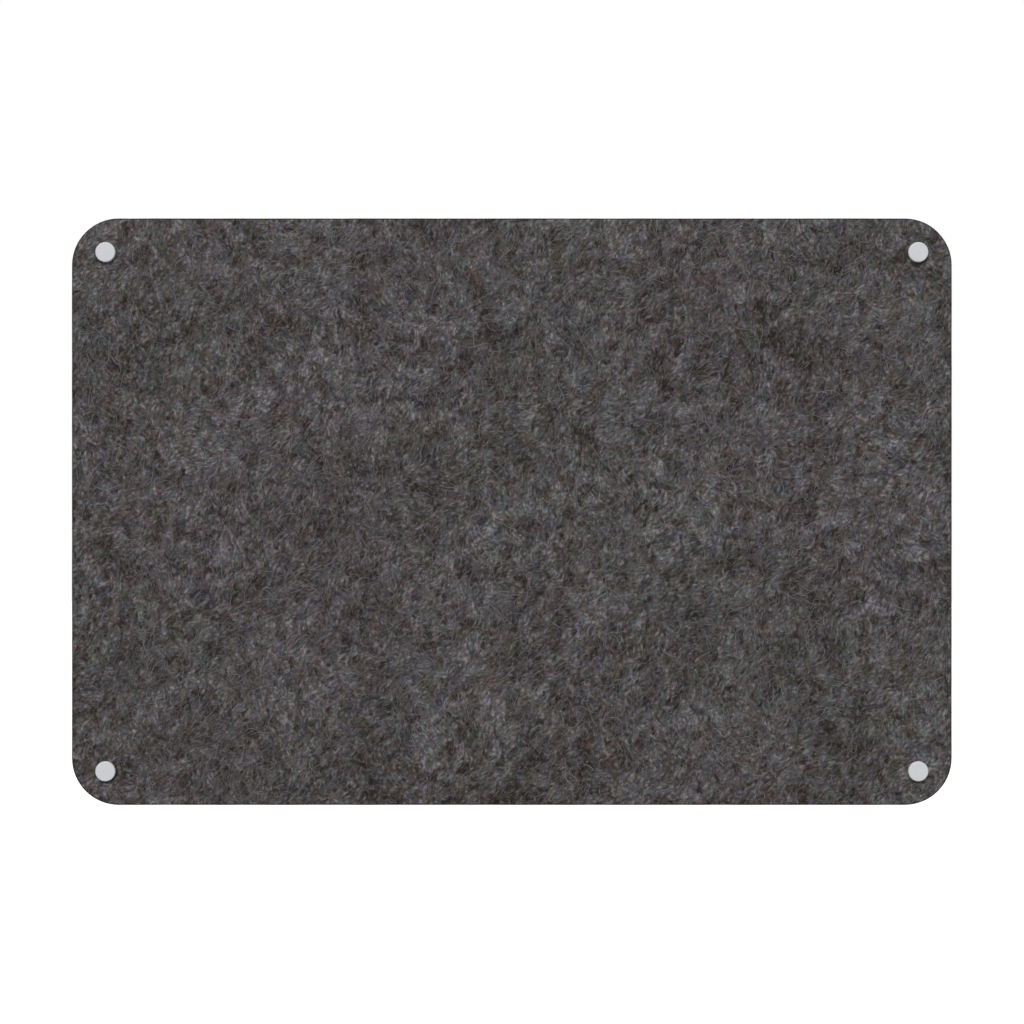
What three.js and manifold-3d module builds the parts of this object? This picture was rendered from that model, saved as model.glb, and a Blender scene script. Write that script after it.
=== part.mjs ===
// A wall-hung pinboard: one thick felt panel with rounded corners, held off the wall at each corner
// by a moulded spacer and a countersunk screw, with a push-on cover cap over each screw.
// Millimetres. +X runs to the right of someone facing the board, +Y goes into the wall, +Z is up.
// The origin is the middle of the board, on the wall's surface.
import * as THREE from "three";
import { mergeVertices } from "three/addons/utils/BufferGeometryUtils.js";
import Module from "manifold-3d";

// Felt panel
const BOARD_WIDTH = 750;
const BOARD_HEIGHT = 500;
const CORNER_RADIUS = 40;
const FELT_THICKNESS = 9;
const FELT_EDGE_ROUND = 0.8;
const FIXING_INSET = 29; // from each edge of the board to a fixing's axis
const WALL_GAP = 12; // from the wall to the back of the felt

// Clearances between pieces
const SLIDE_CLEARANCE = 0.3; // a cap over its seat, on the radius
const BORE_CLEARANCE = 0.3; // a hole round the screw or the collar in it, on the radius
const HEAD_CLEARANCE = 0.3; // the countersink round the screw's head, on the radius
const END_CLEARANCE = 0.3; // between ends that face each other along the axis

// Countersunk screw
const SCREW_LENGTH = 60;
const SCREW_DIAMETER = 4.5;
const SCREW_THREAD_DEPTH = 0.6;
const SCREW_THREAD_LENGTH = 36;
const SCREW_TIP_LENGTH = 5;
const SCREW_HEAD_DIAMETER = 8.6;
const SCREW_HEAD_RIM = 0.3;
const SCREW_HEAD_SUNK = 0.2; // below the seat's front face
const RECESS_SPAN = 4.4;
const RECESS_WIDTH = 0.9;
const RECESS_DEPTH = 1.8;

// Cap seat: the flanged bush that clamps the felt and carries the cap
const SEAT_LIP = 1.4; // the front of the flange, which the cap snaps behind
const SEAT_UNDERCUT = 0.8; // the narrower part of the flange, between the lip and the felt
const SEAT_UNDERCUT_DEPTH = 0.35;
const COLLAR_WALL = 2;
const COLLAR_REACH = 2; // how far the collar goes into the spacer behind the felt

// Cover cap
const CAP_DIAMETER = 17;
const CAP_WALL = 1;
const CAP_FACE = 1.1;
const CAP_EDGE_ROUND = 0.9;
const CAP_HEADROOM = 0.5; // between the seat and the inside of the cap's face
const CAP_BEAD = 0.25; // how far the snap bead stands in from the wall
const CAP_BEAD_WIDTH = 0.5;

// Wall spacer: a shallow cup with a hub, open towards the wall
const SPACER_WALL = 1.6;
const SPACER_FACE = 2.6;
const SPACER_HOLLOW = 1.85; // between the hub and the wall of the cup
const HUB_WALL = 1.7; // round the socket that takes the collar
const RIB_COUNT = 6;
const RIB_WIDTH = 1.2;

// Wall plug
const PLUG_LENGTH = 40;
const PLUG_WALL = 1.45; // an 8 mm plug
const PLUG_RIM_WIDTH = 1; // how far the rim stands out from the plug
const PLUG_RIM = 0.8;
const PLUG_NECK = 9; // the plain stretch behind the rim
const PLUG_TOOTH = 0.45;
const PLUG_TOOTH_COUNT = 6;
const PLUG_NOSE = 3;
const PLUG_SLOT = 0.9;

// How finely round shapes are cut into flats
const CAP_SIDES = 36;
const BUSH_SIDES = 24;
const PLUG_SIDES = 16;
const SCREW_SIDES = 16;
const CORNER_STEPS = 6;
const ROUND_STEPS = 3;
const MERGE_DISTANCE = 1e-4;
const CUT_OVERRUN = 1; // how far a cutting tool runs past the face that it leaves

// Faces that pieces share, as heights on the Y axis
const FELT_BACK = -WALL_GAP;
const FELT_FRONT = FELT_BACK - FELT_THICKNESS;
const SEAT_FRONT = FELT_FRONT - SEAT_UNDERCUT - SEAT_LIP;
const CAP_FRONT = SEAT_FRONT - CAP_HEADROOM - CAP_FACE;
const CAP_BACK = FELT_FRONT - END_CLEARANCE;
const HEAD_FRONT = SEAT_FRONT + SCREW_HEAD_SUNK;
const COLLAR_END = FELT_BACK + COLLAR_REACH;

// Radii of the pieces that run in or on each other
const CAP_RADIUS = CAP_DIAMETER / 2;
const CAP_INNER_RADIUS = CAP_RADIUS - CAP_WALL;
const BEAD_RADIUS = CAP_INNER_RADIUS - CAP_BEAD;
const SEAT_RADIUS = BEAD_RADIUS - SLIDE_CLEARANCE;
const BORE_RADIUS = SCREW_DIAMETER / 2 + BORE_CLEARANCE;
const COLLAR_RADIUS = BORE_RADIUS + COLLAR_WALL;
const SOCKET_RADIUS = COLLAR_RADIUS + BORE_CLEARANCE;

const FELT_GREY = 0x4d4949;
const CAP_GREY = 0xcbced2;
const SEAT_WHITE = 0xd9d9d6;
const SPACER_GREY = 0x3a3a3c;
const ZINC = 0xb9bcc0;
const PLUG_GREY = 0x8d9092;

const wasm = await Module();
wasm.setup();

// A closed three.js geometry as a solid, with its shared points merged and its flat slivers dropped.
function solidOf(geometry) {
  const bare = geometry.clone();
  bare.deleteAttribute("normal");
  bare.deleteAttribute("uv");
  const merged = mergeVertices(bare, MERGE_DISTANCE);
  const corners = merged.index.array;
  const kept = [];
  for (let i = 0; i < corners.length; i += 3) {
    const [a, b, c] = corners.slice(i, i + 3);
    if (a !== b && b !== c && c !== a) kept.push(a, b, c);
  }
  return new wasm.Manifold(
    new wasm.Mesh({
      numProp: 3,
      vertProperties: merged.attributes.position.array,
      triVerts: new Uint32Array(kept),
    }),
  );
}

// A solid back as a flat-shaded geometry.
function geometryOf(solid) {
  const mesh = solid.getMesh();
  const geometry = new THREE.BufferGeometry();
  geometry.setAttribute("position", new THREE.BufferAttribute(mesh.vertProperties, mesh.numProp));
  geometry.setIndex(new THREE.BufferAttribute(mesh.triVerts, 1));
  const flat = geometry.toNonIndexed();
  flat.computeVertexNormals();
  return flat;
}

// A solid turned round the Y axis. Its outline is given as [radius, height] pairs that run from the
// front to the back along the outside, and either starts and ends on the axis or closes on itself.
function turned(outline, sides) {
  const points = outline.map(([radius, height]) => new THREE.Vector2(radius, height));
  return solidOf(new THREE.LatheGeometry(points, sides));
}

// The [radius, height] pairs of a quarter round, from a front face out to the wall at a radius.
function frontRound(radius, front, round) {
  return Array.from({ length: ROUND_STEPS + 1 }, (_, step) => {
    const angle = (Math.PI / 2) * (step / ROUND_STEPS);
    return [radius - round * (1 - Math.sin(angle)), front + round * (1 - Math.cos(angle))];
  });
}

// A block centred on the Y axis, between two heights.
function block(width, front, back, depth) {
  const box = new THREE.BoxGeometry(width, back - front, depth);
  return solidOf(box.translate(0, (front + back) / 2, 0));
}

// A copy of a solid, turned about the Y axis by a share of a full turn.
function turnedBy(solid, turnShare) {
  return solid.rotate([0, 360 * turnShare, 0]);
}

const FIXINGS = [
  { corner: "top_left", side: -1, level: 1 },
  { corner: "top_right", side: 1, level: 1 },
  { corner: "bottom_left", side: -1, level: -1 },
  { corner: "bottom_right", side: 1, level: -1 },
].map(({ corner, side, level }) => ({
  corner,
  x: side * (BOARD_WIDTH / 2 - FIXING_INSET),
  z: level * (BOARD_HEIGHT / 2 - FIXING_INSET),
}));

// The felt's outline as seen from the front, drawn inside the true edge by the edge's round.
function boardOutline() {
  const radius = CORNER_RADIUS - FELT_EDGE_ROUND;
  const centreX = BOARD_WIDTH / 2 - CORNER_RADIUS;
  const centreY = BOARD_HEIGHT / 2 - CORNER_RADIUS;
  const quarter = Math.PI / 2;
  const outline = new THREE.Shape();
  outline.absarc(centreX, centreY, radius, 0, quarter);
  outline.absarc(-centreX, centreY, radius, quarter, 2 * quarter);
  outline.absarc(-centreX, -centreY, radius, 2 * quarter, 3 * quarter);
  outline.absarc(centreX, -centreY, radius, 3 * quarter, 4 * quarter);
  return outline;
}

// One thick sheet of pressed felt, cut to shape, with a hole for each seat's collar.
function feltPanel() {
  const sheet = new THREE.ExtrudeGeometry(boardOutline(), {
    depth: FELT_THICKNESS - 2 * FELT_EDGE_ROUND,
    curveSegments: CORNER_STEPS,
    bevelThickness: FELT_EDGE_ROUND,
    bevelSize: FELT_EDGE_ROUND,
    bevelSegments: ROUND_STEPS,
  });
  sheet.rotateX(Math.PI / 2).translate(0, FELT_BACK - FELT_EDGE_ROUND, 0);
  const drillLength = FELT_THICKNESS + 2 * CUT_OVERRUN;
  const drill = new THREE.CylinderGeometry(SOCKET_RADIUS, SOCKET_RADIUS, drillLength, BUSH_SIDES);
  const hole = solidOf(drill.translate(0, (FELT_FRONT + FELT_BACK) / 2, 0));
  return FIXINGS.reduce(
    (felt, { x, z }) => felt.subtract(hole.translate([x, 0, z])),
    solidOf(sheet),
  );
}

// The pale round cap that shows at each corner: a shallow cup with a snap bead inside its rim.
function coverCap() {
  const innerFront = CAP_FRONT + CAP_FACE;
  const beadFront = CAP_BACK - CAP_BEAD_WIDTH;
  return turned(
    [
      [0, CAP_FRONT],
      ...frontRound(CAP_RADIUS, CAP_FRONT, CAP_EDGE_ROUND),
      [CAP_RADIUS, CAP_BACK],
      [BEAD_RADIUS, CAP_BACK],
      [BEAD_RADIUS, beadFront],
      [CAP_INNER_RADIUS, beadFront - CAP_BEAD],
      [CAP_INNER_RADIUS, innerFront],
      [0, innerFront],
    ],
    CAP_SIDES,
  );
}

// The flanged bush under a cap. The screw pulls its flange onto the felt, and its collar goes
// through the felt into the spacer, so that the felt isn't crushed.
function capSeat() {
  const lipBack = SEAT_FRONT + SEAT_LIP;
  const undercutRadius = SEAT_RADIUS - SEAT_UNDERCUT_DEPTH;
  const sinkRadius = SCREW_HEAD_DIAMETER / 2 + HEAD_CLEARANCE;
  const sinkFloor = HEAD_FRONT + SCREW_HEAD_RIM;
  return turned(
    [
      [sinkRadius, SEAT_FRONT],
      [SEAT_RADIUS, SEAT_FRONT],
      [SEAT_RADIUS, lipBack],
      [undercutRadius, lipBack],
      [undercutRadius, FELT_FRONT],
      [COLLAR_RADIUS, FELT_FRONT],
      [COLLAR_RADIUS, COLLAR_END],
      [BORE_RADIUS, COLLAR_END],
      [BORE_RADIUS, sinkFloor + sinkRadius - BORE_RADIUS],
      [sinkRadius, sinkFloor],
      [sinkRadius, SEAT_FRONT],
    ],
    BUSH_SIDES,
  );
}

// A countersunk screw with a cross recess. Its thread is a plain rod of the thread's full size.
function wallScrew() {
  const headRadius = SCREW_HEAD_DIAMETER / 2;
  const threadRadius = SCREW_DIAMETER / 2;
  const shankRadius = threadRadius - SCREW_THREAD_DEPTH;
  const coneFront = HEAD_FRONT + SCREW_HEAD_RIM;
  const tip = HEAD_FRONT + SCREW_LENGTH;
  const threadFront = tip - SCREW_THREAD_LENGTH;
  const body = turned(
    [
      [0, HEAD_FRONT],
      [headRadius, HEAD_FRONT],
      [headRadius, coneFront],
      [shankRadius, coneFront + headRadius - shankRadius],
      [shankRadius, threadFront - SCREW_THREAD_DEPTH],
      [threadRadius, threadFront],
      [threadRadius, tip - SCREW_TIP_LENGTH],
      [0, tip],
    ],
    SCREW_SIDES,
  );
  const bladeFront = HEAD_FRONT - CUT_OVERRUN;
  const blade = block(RECESS_SPAN, bladeFront, HEAD_FRONT + RECESS_DEPTH, RECESS_WIDTH);
  return body.subtract(blade).subtract(turnedBy(blade, 1 / 4));
}

// The moulded stand-off behind the felt, with a socket for the collar and ribs round its hub.
function wallSpacer() {
  const hubRadius = SOCKET_RADIUS + HUB_WALL;
  const cupRadius = hubRadius + SPACER_HOLLOW;
  const outerRadius = cupRadius + SPACER_WALL;
  const floor = FELT_BACK + SPACER_FACE;
  const socketFloor = COLLAR_END + END_CLEARANCE;
  const hubEnd = -PLUG_RIM - END_CLEARANCE;
  const cup = turned(
    [
      [SOCKET_RADIUS, FELT_BACK],
      [outerRadius, FELT_BACK],
      [outerRadius, 0],
      [cupRadius, 0],
      [cupRadius, floor],
      [hubRadius, floor],
      [hubRadius, hubEnd],
      [BORE_RADIUS, hubEnd],
      [BORE_RADIUS, socketFloor],
      [SOCKET_RADIUS, socketFloor],
      [SOCKET_RADIUS, FELT_BACK],
    ],
    BUSH_SIDES,
  );
  const ribInner = hubRadius - HUB_WALL / 2;
  const ribOuter = cupRadius + SPACER_WALL / 2;
  const ribLength = ribOuter - ribInner;
  const ribCentre = (ribOuter + ribInner) / 2;
  const rib = block(ribLength, floor - SPACER_FACE / 2, hubEnd, RIB_WIDTH);
  return Array.from({ length: RIB_COUNT }, (_, i) => i / RIB_COUNT).reduce(
    (spacer, turnShare) => spacer.add(turnedBy(rib.translate([ribCentre, 0, 0]), turnShare)),
    cup,
  );
}

// The nylon plug in the wall. Its rim sits under the spacer's hub, and its slot lets it spread.
function wallPlug() {
  const radius = BORE_RADIUS + PLUG_WALL;
  const rimRadius = radius + PLUG_RIM_WIDTH;
  const rootRadius = radius - PLUG_TOOTH;
  const noseStart = PLUG_LENGTH - PLUG_NOSE;
  const toothLength = (noseStart - PLUG_NECK) / PLUG_TOOTH_COUNT;
  const teeth = Array.from({ length: PLUG_TOOTH_COUNT }, (_, i) => [
    [radius, PLUG_NECK + i * toothLength],
    [rootRadius, PLUG_NECK + i * toothLength],
  ]);
  const shell = turned(
    [
      [BORE_RADIUS, -PLUG_RIM],
      [rimRadius, -PLUG_RIM],
      [rimRadius, 0],
      [radius, 0],
      ...teeth.flat(),
      [radius, noseStart],
      [rootRadius, PLUG_LENGTH],
      [BORE_RADIUS, PLUG_LENGTH],
      [BORE_RADIUS, -PLUG_RIM],
    ],
    PLUG_SIDES,
  );
  const slotWidth = 2 * radius + CUT_OVERRUN;
  return shell.subtract(block(slotWidth, PLUG_NECK, PLUG_LENGTH + CUT_OVERRUN, PLUG_SLOT));
}

// A named mesh with a material of its own.
function piece(name, solid, color, roughness, metalness = 0) {
  const material = new THREE.MeshStandardMaterial({ color, roughness, metalness });
  const mesh = new THREE.Mesh(geometryOf(solid), material);
  mesh.name = name;
  return mesh;
}

const pinboard = new THREE.Group();
pinboard.add(piece("felt_panel", feltPanel(), FELT_GREY, 1));

const hardware = {
  cover_cap: [coverCap(), CAP_GREY, 0.45],
  cap_seat: [capSeat(), SEAT_WHITE, 0.5],
  wall_screw: [wallScrew(), ZINC, 0.35, 1],
  wall_spacer: [wallSpacer(), SPACER_GREY, 0.6],
  wall_plug: [wallPlug(), PLUG_GREY, 0.6],
};
for (const { corner, x, z } of FIXINGS) {
  const fixing = new THREE.Group();
  fixing.position.set(x, 0, z);
  for (const [kind, finish] of Object.entries(hardware)) {
    fixing.add(piece(`${kind}_${corner}`, ...finish));
  }
  pinboard.add(fixing);
}

export default pinboard;
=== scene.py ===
# %% [markdown]
# # A felt pinboard on four wall fixings
# The board is one thick sheet of pressed grey felt. At each corner a screw goes through a flanged
# bush, the felt and a spacer into a plug in the wall, and a pale push-on cap hides the screw.
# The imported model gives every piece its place, so each detailed piece here is built in the same
# metres: x to the right, y into the wall, z up.

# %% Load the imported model
import math

import bmesh
import bpy
import numpy as np
from mathutils import Matrix, Vector, noise


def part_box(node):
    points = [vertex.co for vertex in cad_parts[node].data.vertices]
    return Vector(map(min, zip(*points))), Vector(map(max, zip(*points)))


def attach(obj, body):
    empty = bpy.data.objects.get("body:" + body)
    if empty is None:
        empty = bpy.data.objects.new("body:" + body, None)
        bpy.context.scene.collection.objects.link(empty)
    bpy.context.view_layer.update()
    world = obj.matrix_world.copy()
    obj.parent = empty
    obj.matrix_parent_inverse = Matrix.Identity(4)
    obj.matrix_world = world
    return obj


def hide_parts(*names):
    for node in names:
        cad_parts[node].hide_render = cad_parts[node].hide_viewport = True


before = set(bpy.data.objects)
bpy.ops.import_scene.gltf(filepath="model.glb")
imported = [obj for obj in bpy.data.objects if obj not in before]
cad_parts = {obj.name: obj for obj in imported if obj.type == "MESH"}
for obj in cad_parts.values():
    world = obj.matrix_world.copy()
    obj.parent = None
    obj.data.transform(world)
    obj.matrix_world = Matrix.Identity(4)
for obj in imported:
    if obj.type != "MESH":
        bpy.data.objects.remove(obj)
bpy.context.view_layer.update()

# %% [markdown]
# ## The camera
# The photograph shows the board straight on. At each corner the caps show a thin sliver of the side
# that faces the middle, as they do from a camera about two metres away, and that settles the lens.
# The board is measured in the picture in pixels, its real width gives the width of the whole
# picture, and the lens gives the distance. A few tenths of a pixel put the board's middle where the
# photograph has it.

# %% Set up the camera
PICTURE_PIXELS = 1024
BOARD_LEFT_PIXEL = 71.82
BOARD_RIGHT_PIXEL = 951.86
BOARD_MIDDLE_ACROSS_PIXEL = 511.84
BOARD_MIDDLE_DOWN_PIXEL = 511.71
LENS_MM = 85
SENSOR_MM = 36

felt_low, felt_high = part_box("felt_panel")
BOARD_WIDTH = felt_high.x - felt_low.x
BOARD_HEIGHT = felt_high.z - felt_low.z
FELT_FRONT = felt_low.y
FELT_BACK = felt_high.y

pixel_size = BOARD_WIDTH / (BOARD_RIGHT_PIXEL - BOARD_LEFT_PIXEL)
picture_width = pixel_size * PICTURE_PIXELS
camera_distance = picture_width * LENS_MM / SENSOR_MM

lens = bpy.data.cameras.new("lens")
lens.lens = LENS_MM
lens.sensor_width = SENSOR_MM
camera = bpy.data.objects.new("camera", lens)
camera.location = (
    (PICTURE_PIXELS / 2 - BOARD_MIDDLE_ACROSS_PIXEL) * pixel_size,
    FELT_FRONT - camera_distance,
    (BOARD_MIDDLE_DOWN_PIXEL - PICTURE_PIXELS / 2) * pixel_size,
)
camera.rotation_euler = (math.pi / 2, 0, 0)
bpy.context.scene.collection.objects.link(camera)
bpy.context.scene.camera = camera
bpy.context.scene.view_settings.view_transform = "Standard"
print("one pixel is", round(pixel_size, 6), "m and the camera is", round(camera_distance, 2), "m away")

# %% [markdown]
# ## Shader nodes in a few words
# Every finish below is a tree of shader nodes. Made by hand in Python, a tree takes three lines a
# node, so one helper makes a node, sets its choices and fills its inputs. An input that is given
# a socket is linked, and any other value is typed in. The other helpers are for the nodes that come
# up again and again: a sum, a smooth step, a mix of two colours and a group.

# %% Helpers for shader nodes
def fill_inputs(tree, node, values):
    for name, value in values.items():
        socket = node.inputs[name]
        if isinstance(value, bpy.types.NodeSocket):
            tree.links.new(value, socket)
        else:
            socket.default_value = value


def add_node(tree, kind, values=None, **choices):
    made = tree.nodes.new("ShaderNode" + kind)
    for name, choice in choices.items():
        setattr(made, name, choice)
    fill_inputs(tree, made, values or {})
    return made


def maths(tree, operation, first, second=0.0, clamp=False):
    made = add_node(tree, "Math", {0: first, 1: second}, operation=operation, use_clamp=clamp)
    return made.outputs[0]


def remap(tree, value, low, high, to_low=0.0, to_high=1.0):
    values = {"Value": value, "From Min": low, "From Max": high, "To Min": to_low, "To Max": to_high}
    made = add_node(tree, "MapRange", values, interpolation_type="SMOOTHSTEP")
    return made.outputs["Result"]


def mix_colours(tree, share, first, second, blend_type="MIX"):
    values = {0: share, 6: first, 7: second}
    made = add_node(tree, "Mix", values, data_type="RGBA", blend_type=blend_type)
    return made.outputs[2]


def vector_maths(tree, operation, first, second):
    return add_node(tree, "VectorMath", {0: first, 1: second}, operation=operation).outputs[0]


def noise_node(tree, vector, scale=1.0, detail=0.0):
    return add_node(tree, "TexNoise", {"Vector": vector, "Scale": scale, "Detail": detail}).outputs


def attribute(tree, name):
    return add_node(tree, "Attribute", attribute_name=name).outputs["Fac"]


def place_on_piece(tree):
    return add_node(tree, "TexCoord").outputs["Object"]


def new_material(name):
    material = bpy.data.materials.new(name)
    material.use_nodes = True
    return material, material.node_tree, material.node_tree.nodes["Principled BSDF"]


def shader_group(name, inputs, outputs):
    """A group with the named inputs and outputs, each given with its kind of socket."""
    group = bpy.data.node_groups.new(name, "ShaderNodeTree")
    for way, sockets in (("INPUT", inputs), ("OUTPUT", outputs)):
        for label, kind in sockets.items():
            group.interface.new_socket(label, in_out=way, socket_type="NodeSocket" + kind)
    entry = group.nodes.new("NodeGroupInput")
    leave = group.nodes.new("NodeGroupOutput")
    return group, entry.outputs, leave.inputs


SCREEN_FULL = 255
SCREEN_GAMMA = 2.4
SCREEN_LIFT = 0.055


def screen_colour(red, green, blue):
    """A colour read off a screen, 0 to 255 each, as the linear colour that Blender works in."""
    channels = [value / SCREEN_FULL for value in (red, green, blue)]
    return (*[((share + SCREEN_LIFT) / (1 + SCREEN_LIFT)) ** SCREEN_GAMMA for share in channels], 1.0)


# %% [markdown]
# ## Fibres as a shader group
# Felt is a mat of fibres that lie every way, a few millimetres to a few centimetres long. Noise
# that is stretched along one direction gives soft streaks, and the line along which that noise
# passes through its middle value is thin and winding like one hair. A second noise lets only some
# stretches of the line show. The group makes one direction of fibres, and the felt uses it many
# times with its own turn, length and width.

# %% Build the fibre group
HAIR_GATE_LOW = 0.53
HAIR_GATE_HIGH = 0.60
GATE_STRETCH = (0.9, 0.35, 0.35)
STREAK_DETAIL = 0.6
MIDDLE = 0.5
METRE = 1.0

fibres_group, given, result = shader_group(
    "fibre_streaks",
    {
        "Vector": "Vector",
        "Turn": "Float",
        "Length": "Float",
        "Width": "Float",
        "Hair Share": "Float",
        "Shift": "Vector",
    },
    {"Streak": "Float", "Hair": "Float"},
)
tree = fibres_group
placed = vector_maths(tree, "ADD", given["Vector"], given["Shift"])
turned_round = add_node(
    tree, "VectorRotate", {"Vector": placed, "Angle": given["Turn"]}, rotation_type="Y_AXIS"
)
per_length = maths(tree, "DIVIDE", METRE, given["Length"])
per_width = maths(tree, "DIVIDE", METRE, given["Width"])
stretch = add_node(tree, "CombineXYZ", {"X": per_length, "Y": per_width, "Z": per_width})
stretched = vector_maths(tree, "MULTIPLY", turned_round.outputs[0], stretch.outputs[0])
streak = noise_node(tree, stretched, detail=STREAK_DETAIL)["Fac"]
gate = noise_node(tree, vector_maths(tree, "MULTIPLY", stretched, GATE_STRETCH))["Fac"]
off_middle = maths(tree, "ABSOLUTE", maths(tree, "SUBTRACT", streak, MIDDLE))
line_share = maths(tree, "DIVIDE", off_middle, given["Hair Share"])
line = remap(tree, line_share, 0.0, 1.0, 1.0, 0.0)
open_gate = remap(tree, gate, HAIR_GATE_LOW, HAIR_GATE_HIGH)
tree.links.new(streak, result["Streak"])
tree.links.new(maths(tree, "MULTIPLY", line, open_gate), result["Hair"])
print("fibre group has", len(tree.nodes), "nodes")

# %% [markdown]
# ## Combed fibres as a shader group
# Before it is needled the wool is combed, and the combing drifts over the sheet. So fibres that
# are neighbours lie much alike, and a hand's width away they lie another way. The group mixes six
# directions of fibres. A slow value, the flow, says which two of the six rule at a place.

# %% Build the combed group
COMBED_WAYS = 6

combed_group, given, result = shader_group(
    "combed_fibres",
    {"Vector": "Vector", "Flow": "Float", "Length": "Float", "Width": "Float", "Shift": "Float"},
    {"Streak": "Float"},
)
tree = combed_group
combed = None
for way in range(COMBED_WAYS):
    off_flow = maths(tree, "ADD", given["Flow"], MIDDLE - way / COMBED_WAYS)
    off_flow = maths(tree, "SUBTRACT", maths(tree, "FRACT", off_flow), MIDDLE)
    nearness = maths(tree, "MULTIPLY", maths(tree, "ABSOLUTE", off_flow), -COMBED_WAYS)
    rule = maths(tree, "ADD", nearness, 1.0, clamp=True)
    away = maths(tree, "ADD", given["Shift"], way)
    values = {
        "Vector": given["Vector"],
        "Turn": math.pi * way / COMBED_WAYS,
        "Length": given["Length"],
        "Width": given["Width"],
        "Shift": add_node(tree, "CombineXYZ", {"X": away, "Z": away}).outputs[0],
    }
    family = add_node(tree, "Group", values, node_tree=fibres_group)
    part = maths(tree, "MULTIPLY", rule, family.outputs["Streak"])
    combed = part if combed is None else maths(tree, "ADD", combed, part)
tree.links.new(combed, result["Streak"])
print("combed group has", len(tree.nodes), "nodes")

# %% [markdown]
# ## Soft clouds as a shader group
# Few real surfaces are one even colour. Pressed felt is thicker in some places, and moulded
# plastic cools unevenly. A slow noise, pushed towards its ends, gives a mask for both.

# %% Build the cloud group
clouds_group, given, result = shader_group(
    "soft_clouds", {"Vector": "Vector", "Size": "Float", "Contrast": "Float"}, {"Cloud": "Float"}
)
tree = clouds_group
CLOUD_DETAIL = 3.0
cloud_scale = maths(tree, "DIVIDE", METRE, given["Size"])
cloud_noise = noise_node(tree, given["Vector"], cloud_scale, CLOUD_DETAIL)["Fac"]
swing = maths(tree, "MULTIPLY", maths(tree, "SUBTRACT", cloud_noise, MIDDLE), given["Contrast"])
tree.links.new(maths(tree, "ADD", swing, MIDDLE, clamp=True), result["Cloud"])


def soft_cloud(tree, vector, size, contrast):
    values = {"Vector": vector, "Size": size, "Contrast": contrast}
    return add_node(tree, "Group", values, node_tree=clouds_group).outputs["Cloud"]


print("cloud group has", len(clouds_group.nodes), "nodes")

# %% [markdown]
# ## Moulded grain as a shader group
# The steel mould of a plastic part is spark-eroded or blasted, and leaves a fine pebbled grain.
# Two noises, one fine and one coarser, give a height for a Bump node and a share for roughness.

# %% Build the grain group
grain_group, given, result = shader_group(
    "moulded_grain", {"Vector": "Vector", "Grain Size": "Float"}, {"Height": "Float", "Patches": "Float"}
)
tree = grain_group
PATCH_TO_GRAIN = 9.0
GRAIN_DETAIL = 2.0
grain_scale = maths(tree, "DIVIDE", METRE, given["Grain Size"])
patch_scale = maths(tree, "DIVIDE", grain_scale, PATCH_TO_GRAIN)
for scale, output in ((grain_scale, "Height"), (patch_scale, "Patches")):
    pebbles = noise_node(tree, given["Vector"], scale, GRAIN_DETAIL)
    tree.links.new(pebbles["Fac"], result[output])
print("grain group has", len(tree.nodes), "nodes")

# %% [markdown]
# ## Edge wear and highlight as a shader group
# Fingers and tools rub the outer edges and leave the hollows dusty. On the caps the paler edge is
# also a painted highlight, where the rounded rim catches the light. Pointiness tells how far a
# surface bulges or sinks at each point, and two smooth steps turn it into a mask for each.

# %% Build the wear and highlight group
wear_and_highlight_group, given, result = shader_group(
    "edge_wear_and_highlight",
    {"Edge Start": "Float", "Edge Full": "Float", "Hollow Full": "Float"},
    {"Edge": "Float", "Hollow": "Float"},
)
tree = wear_and_highlight_group
bulge = add_node(tree, "NewGeometry").outputs["Pointiness"]
tree.links.new(remap(tree, bulge, given["Edge Start"], given["Edge Full"]), result["Edge"])
tree.links.new(remap(tree, bulge, given["Hollow Full"], MIDDLE, 1.0, 0.0), result["Hollow"])
print("wear group has", len(tree.nodes), "nodes")

# %% [markdown]
# ## The finish of the felt
# The ground is dark brown-grey, wool-like fibre. Over it lie cooler, lighter fibres, with a few warm,
# reddish, greenish and bluish ones, which together read as mottled grey. A flat colour with a
# bump would miss all of that, and a picture of felt would repeat. So the colour is laid on in
# the order in which the real mat is built up: soft dark and light streaks that follow the combing,
# winding hairs over them, single fine hairs for close views, and last a multiplying grain of
# specks, dark ones and bright ones. Slow clouds thin the light fibres out in some places. Slight
# tints drift over everything. Towards the rim the colour drops to a dark edge colour. On the rounded
# rim of each face that is painted shade. On the cut edge the colour lies in thin layers, because
# there the fibres are seen end on.

# %% Choose the felt's colours
FELT_DARK = screen_colour(37, 29, 25)
FELT_MID = screen_colour(58, 49, 45)
FELT_WISP = screen_colour(84, 82, 84)
FELT_SOFT_LIGHT = screen_colour(79, 75, 76)
FELT_SOFT_DARK = screen_colour(35, 28, 22)
FELT_VIOLET = screen_colour(107, 105, 108)
FELT_PALE = screen_colour(116, 115, 118)
FELT_WARM = screen_colour(102, 92, 82)
FELT_RED = screen_colour(98, 80, 77)
FELT_GREEN = screen_colour(78, 86, 73)
FELT_BLUE = screen_colour(80, 85, 103)
# The darkest edge colour is painted shade on the rounded rims and the dark of the cut edge's layers.
FELT_EDGE_DARK_AND_PAINTED_RIM_SHADE = screen_colour(33, 30, 28)
FELT_EDGE_LIGHT = screen_colour(88, 84, 84)

# %% List the felt's streaks and hairs
# length, width, shift, colour, where it starts to show, where it shows in full, strength
SOFT_STREAK_SHARES = (
    (0.0056, 0.0026, 0.0, FELT_SOFT_DARK, 0.40, 0.62, 0.42),
    (0.0060, 0.0028, 0.4, FELT_SOFT_LIGHT, 0.49, 0.66, 0.85),
    (0.0100, 0.0022, 0.9, FELT_PALE, 0.53, 0.70, 0.60),
    (0.0280, 0.0080, 1.7, FELT_WISP, 0.46, 0.62, 0.36),
)
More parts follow.
